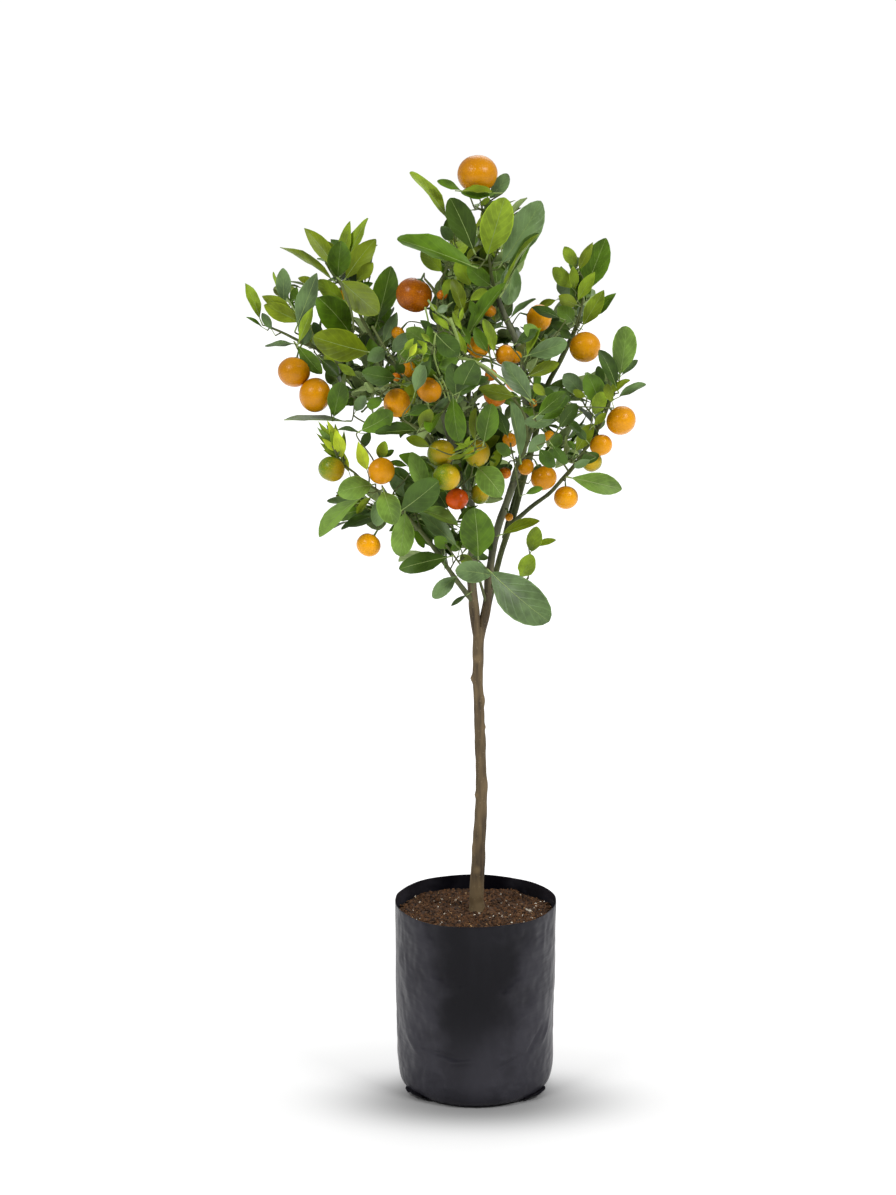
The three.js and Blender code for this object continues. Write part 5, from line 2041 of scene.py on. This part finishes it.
FRUIT_FINISHES = {
    # painted light: the orange made brighter
    Ripeness.GOLDEN: FruitFinish("fruit_golden", paint(212, 136, 0), paint(244, 168, 6)),
    Ripeness.ORANGE: FruitFinish("fruit_orange", paint(188, 118, 0), paint(222, 150, 0)),
    Ripeness.DEEP: FruitFinish("fruit_deep", paint(146, 72, 0), paint(238, 138, 0)),
    Ripeness.RED: FruitFinish("fruit_red", paint(184, 58, 2), paint(226, 92, 8)),
    Ripeness.TURNING: FruitFinish("fruit_turning", paint(110, 136, 22), paint(212, 168, 20)),
}

# The letter Y gives a fruit the brighter orange: painted light.
FRUIT_ROWS = (
    (477.5, 174, 38, "A", -5), (414, 295, 35, "B", -15), (294, 372, 31, "A", 0), (315, 395, 33, "A", -10),
    (397, 403, 28, "Y", -90), (429, 390, 25, "A", -110), (585, 347, 30, "Y", 20), (539, 318, 26, "Y", 12),
    (621, 420.5, 29, "Y", -36), (601, 445, 22, "Y", -34), (592, 462, 20, "T", -26),
    (543.7, 478, 25.5, "A", -40), (566, 497.5, 23.5, "Y", -30), (331.5, 469, 26, "T", -50),
    (381.5, 471, 26, "Y", -66), (368.5, 545, 24, "Y", -54), (441, 453, 27, "T", -70),
    (477, 453, 27, "T", -64), (446.5, 477, 27, "T", -84), (457, 499, 22, "R", -58), (480, 494, 20, "T", -44),
    (510, 440, 15, "A", -66), (526, 467, 16, "A", -16), (549, 436, 11, "Y", -60), (408, 369, 16, "A", -56),
    (396, 377, 9, "B", -50), (398, 333, 13, "A", -6), (478, 347, 22, "A", -70), (505, 355, 20, "A", -64),
    (516, 357, 12, "A", -54), (491, 375, 12, "B", -80), (495, 395, 23, "B", -78), (442, 295, 10, "B", -30),
    (490, 311, 12, "A", -20), (533, 403, 8, "A", -50), (505, 473, 12, "B", -20), (509, 517, 8, "A", -4),
)
# Fruit at the back of the crown, behind what the first table's rows show.
BACK_FRUIT = (
    (343, 344, 23, "A", 108), (414, 296, 24, "T", 126), (467, 226, 18, "A", 116), (519, 232, 22, "A", 132),
    (596, 264, 15, "B", 96), (442, 454, 22, "T", 92), (466, 377, 27, "A", 150), (515, 380, 22, "B", 152),
    (573, 384, 14, "A", 150), (340, 300, 26, "A", 96),
)


@dataclass
class Fruits:
    """The crop, in mm: centres, radii, ripeness numbers and the direction of each stalk."""

    sight: Sight
    wood: Wood
    random: np.random.Generator
    stalk: float = 7.0
    lean: float = 0.15
    uprightness: float = 0.7
    first_axis: Place = (0.1, 0.15, -1.0)
    fullness: float = 1.05
    flatness: float = 0.93
    crosswise: Place = (0.31, 0.95, 0.05)
    peel: Grain = Grain(0.7, 0.014, 80, layers=1)
    peel_rings: int = 18
    peel_sides: int = 26
    star_reach: float = 0.27
    star_rings: int = 4
    star_sides: int = 20
    stalk_rows: int = 5
    stalk_sides: int = 6
    stalk_radii: Span = (1.15, 0.8)

    def __post_init__(self) -> None:
        """Places the fruit, with stalks up and towards the nearest wood; the first stands on its own."""
        rows = FRUIT_ROWS + BACK_FRUIT
        seen = np.array([row[:3] + row[4:] for row in rows], float)
        depth = seen[:, 3]
        self.centre = self.sight.to_frame(seen[:, :2], depth)
        self.radius = self.fullness * seen[:, 2] / 2 * (depth - self.sight.place[1]) / self.sight.focal
        self.kind = [Ripeness(row[3]) for row in rows]
        lean = self.random.normal(0, self.lean, (len(self.radius), 3))
        nearest = np.argmin(norms(self.wood.points - self.centre[:, None]), axis=1)
        to_wood = unit(self.wood.points[nearest] - self.centre)
        to_wood[:, 1] = np.maximum(to_wood[:, 1], 0.1)
        self.axis = unit(UP * self.uprightness + to_wood + lean)
        self.axis[0] = unit(np.array(self.first_axis))

    def stalk_tops(self) -> Array:
        """Where each stalk meets its twig."""
        return self.centre + self.axis * (self.radius * self.flatness + self.stalk)[:, None]

    def placed(self, shapes: Array) -> Array:
        """Puts shapes in every fruit's place, at its size, with their z axis along its stalk.

        Args:
            shapes: points on a fruit of radius 1, shaped (..., rings, sides, 3).

        Returns:
            Points shaped (n, rings, sides, 3).
        """
        first = across(self.crosswise, self.axis)
        axes = np.stack([first, np.cross(self.axis, first), self.axis], axis=1)
        local = shapes * self.radius[:, None, None, None]
        return self.centre[:, None, None] + np.einsum("nrcj,njk->nrck", local, axes)

    def peels(self) -> Array:
        """Balls r(a)(sin a cos b, sin a sin b, flatness cos a), hollowed at the stalk and the far end.

        The radius is R (1 - 0.10 e^-(a/0.3)^2 - 0.03 e^-((pi-a)/0.25)^2) (1 + noise).

        Returns:
            Points shaped (n, rings, sides, 3).
        """
        polar = np.linspace(math.pi - 0.03, 0.03, self.peel_rings)[:, None]
        dent = 1 - 0.10 * np.exp(-((polar / 0.3) ** 2)) - 0.03 * np.exp(-(((math.pi - polar) / 0.25) ** 2))
        ball = round_points(np.sin(polar), ring_angles(self.peel_sides), self.flatness * np.cos(polar))
        own = np.arange(len(self.radius))[:, None, None, None] * 10.0
        return self.placed(ball * dent[..., None] * (1 + self.peel.at(ball + own)[..., None]))

    def stars(self) -> Array:
        """Five-pointed green stars on the stalk ends: reach r (1 + 0.3 r cos 5b), lifted off the peel.

        Returns:
            Points shaped (n, rings, sides, 3).
        """
        share = np.linspace(1, 0.12, self.star_rings)[:, None]
        angle = ring_angles(self.star_sides)
        reach = share * self.star_reach * (1 + 0.3 * share * np.cos(5 * angle))
        height = 0.86 - 0.45 * reach**2 + 0.10 * (1 - share) + 0.02
        return self.placed(round_points(reach, angle, height))

    def build(self) -> None:
        """Makes the fruit, kind by kind, then their stars and stalks."""
        peels = self.peels()
        # each fruit's tone rises towards one side, turned mostly to the front and a little right: turning
        # fruit are oranger there, the rest lighter
        turned = unit(self.random.normal(size=(len(self.radius), 3)) * 0.45 + (0.4, -0.8, 0.1))
        outward = unit(peels - self.centre[:, None, None])
        toward_front = 0.1 + 0.62 * np.einsum("nrck,nk->nrc", outward, turned)
        even = np.broadcast_to(self.random.uniform(0.2, 0.8, len(self.radius))[:, None, None], toward_front.shape)
        for kind, finish in FRUIT_FINISHES.items():
            chosen = np.array([item is kind for item in self.kind])
            tone = toward_front if kind is Ripeness.TURNING else 0.7 * even + 0.4 * toward_front
            heap = Heap()
            heap.add_rings(peels[chosen], tone[chosen])
            heap.make(finish.name, finish.material())
        heap = Heap()
        rings, sides = self.star_rings, self.star_sides
        heap.add(self.stars(), [grid_faces(rings, sides, wrap=True), cap_faces(rings, sides)[1:]], 0.2)
        base = self.centre + self.axis * (self.radius * 0.84)[:, None]
        t = np.linspace(0, 1, self.stalk_rows)[None, :, None]
        paths = base[:, None] * (1 - t) + self.stalk_tops()[:, None] * t
        radii = np.linspace(*self.stalk_radii, self.stalk_rows) + np.zeros((len(base), 1))
        heap.add_rings(tube_grid(paths, radii, self.stalk_sides), 0.3)
        finish = StalkFinish("fruit_stalks", paint(72, 98, 44), paint(112, 136, 70))
        heap.make("fruit_stalks", finish.material())


# ---------------- the tree


@dataclass
class Crown:
    """Everything that grows on the limbs, in the order in which it grows."""

    sight: Sight
    wood: Wood
    random: np.random.Generator = field(default_factory=lambda: np.random.default_rng(SEED + 2))

    def build(self) -> None:
        """Grows sprays, twigs, leaves and fruit, nearest to the wood first, and makes them all."""
        fruit = Fruits(self.sight, self.wood, self.random)
        foliage = Foliage(self.sight, self.random, fruit)
        named = foliage.named
        leaves = Leaves.joined([named] + foliage.grow_sprays(self.wood))
        targets = np.concatenate([fruit.stalk_tops(), named.foot - stalks(named.axis)])
        headings = np.concatenate([-fruit.axis, named.axis])
        reach = [np.min(norms(self.wood.points - target)) for target in targets]
        for index in np.argsort(reach):
            self.wood.keep(*self.wood.reach(targets[index], headings[index]))
        LOG.info("%d leaves, %d twigs", len(leaves.length), len(self.wood.twigs))
        self.wood.build(Framework.young_bark.material())
        Blades(self.random).build(leaves, len(named.length))
        fruit.build()


def main() -> None:
    """Builds the studio, the bag, the soil and the tree."""
    logging.basicConfig(level=logging.INFO, format="%(name)s: %(message)s")
    sight = Sight()
    sight.build()
    Studio().build()
    GrowBag().build()
    PottingSoil().build()
    wood = Wood()
    Framework().build(wood, sight)
    Crown(sight, wood).build()
    LOG.info("boxes written")


if __name__ == "__main__":
    main()
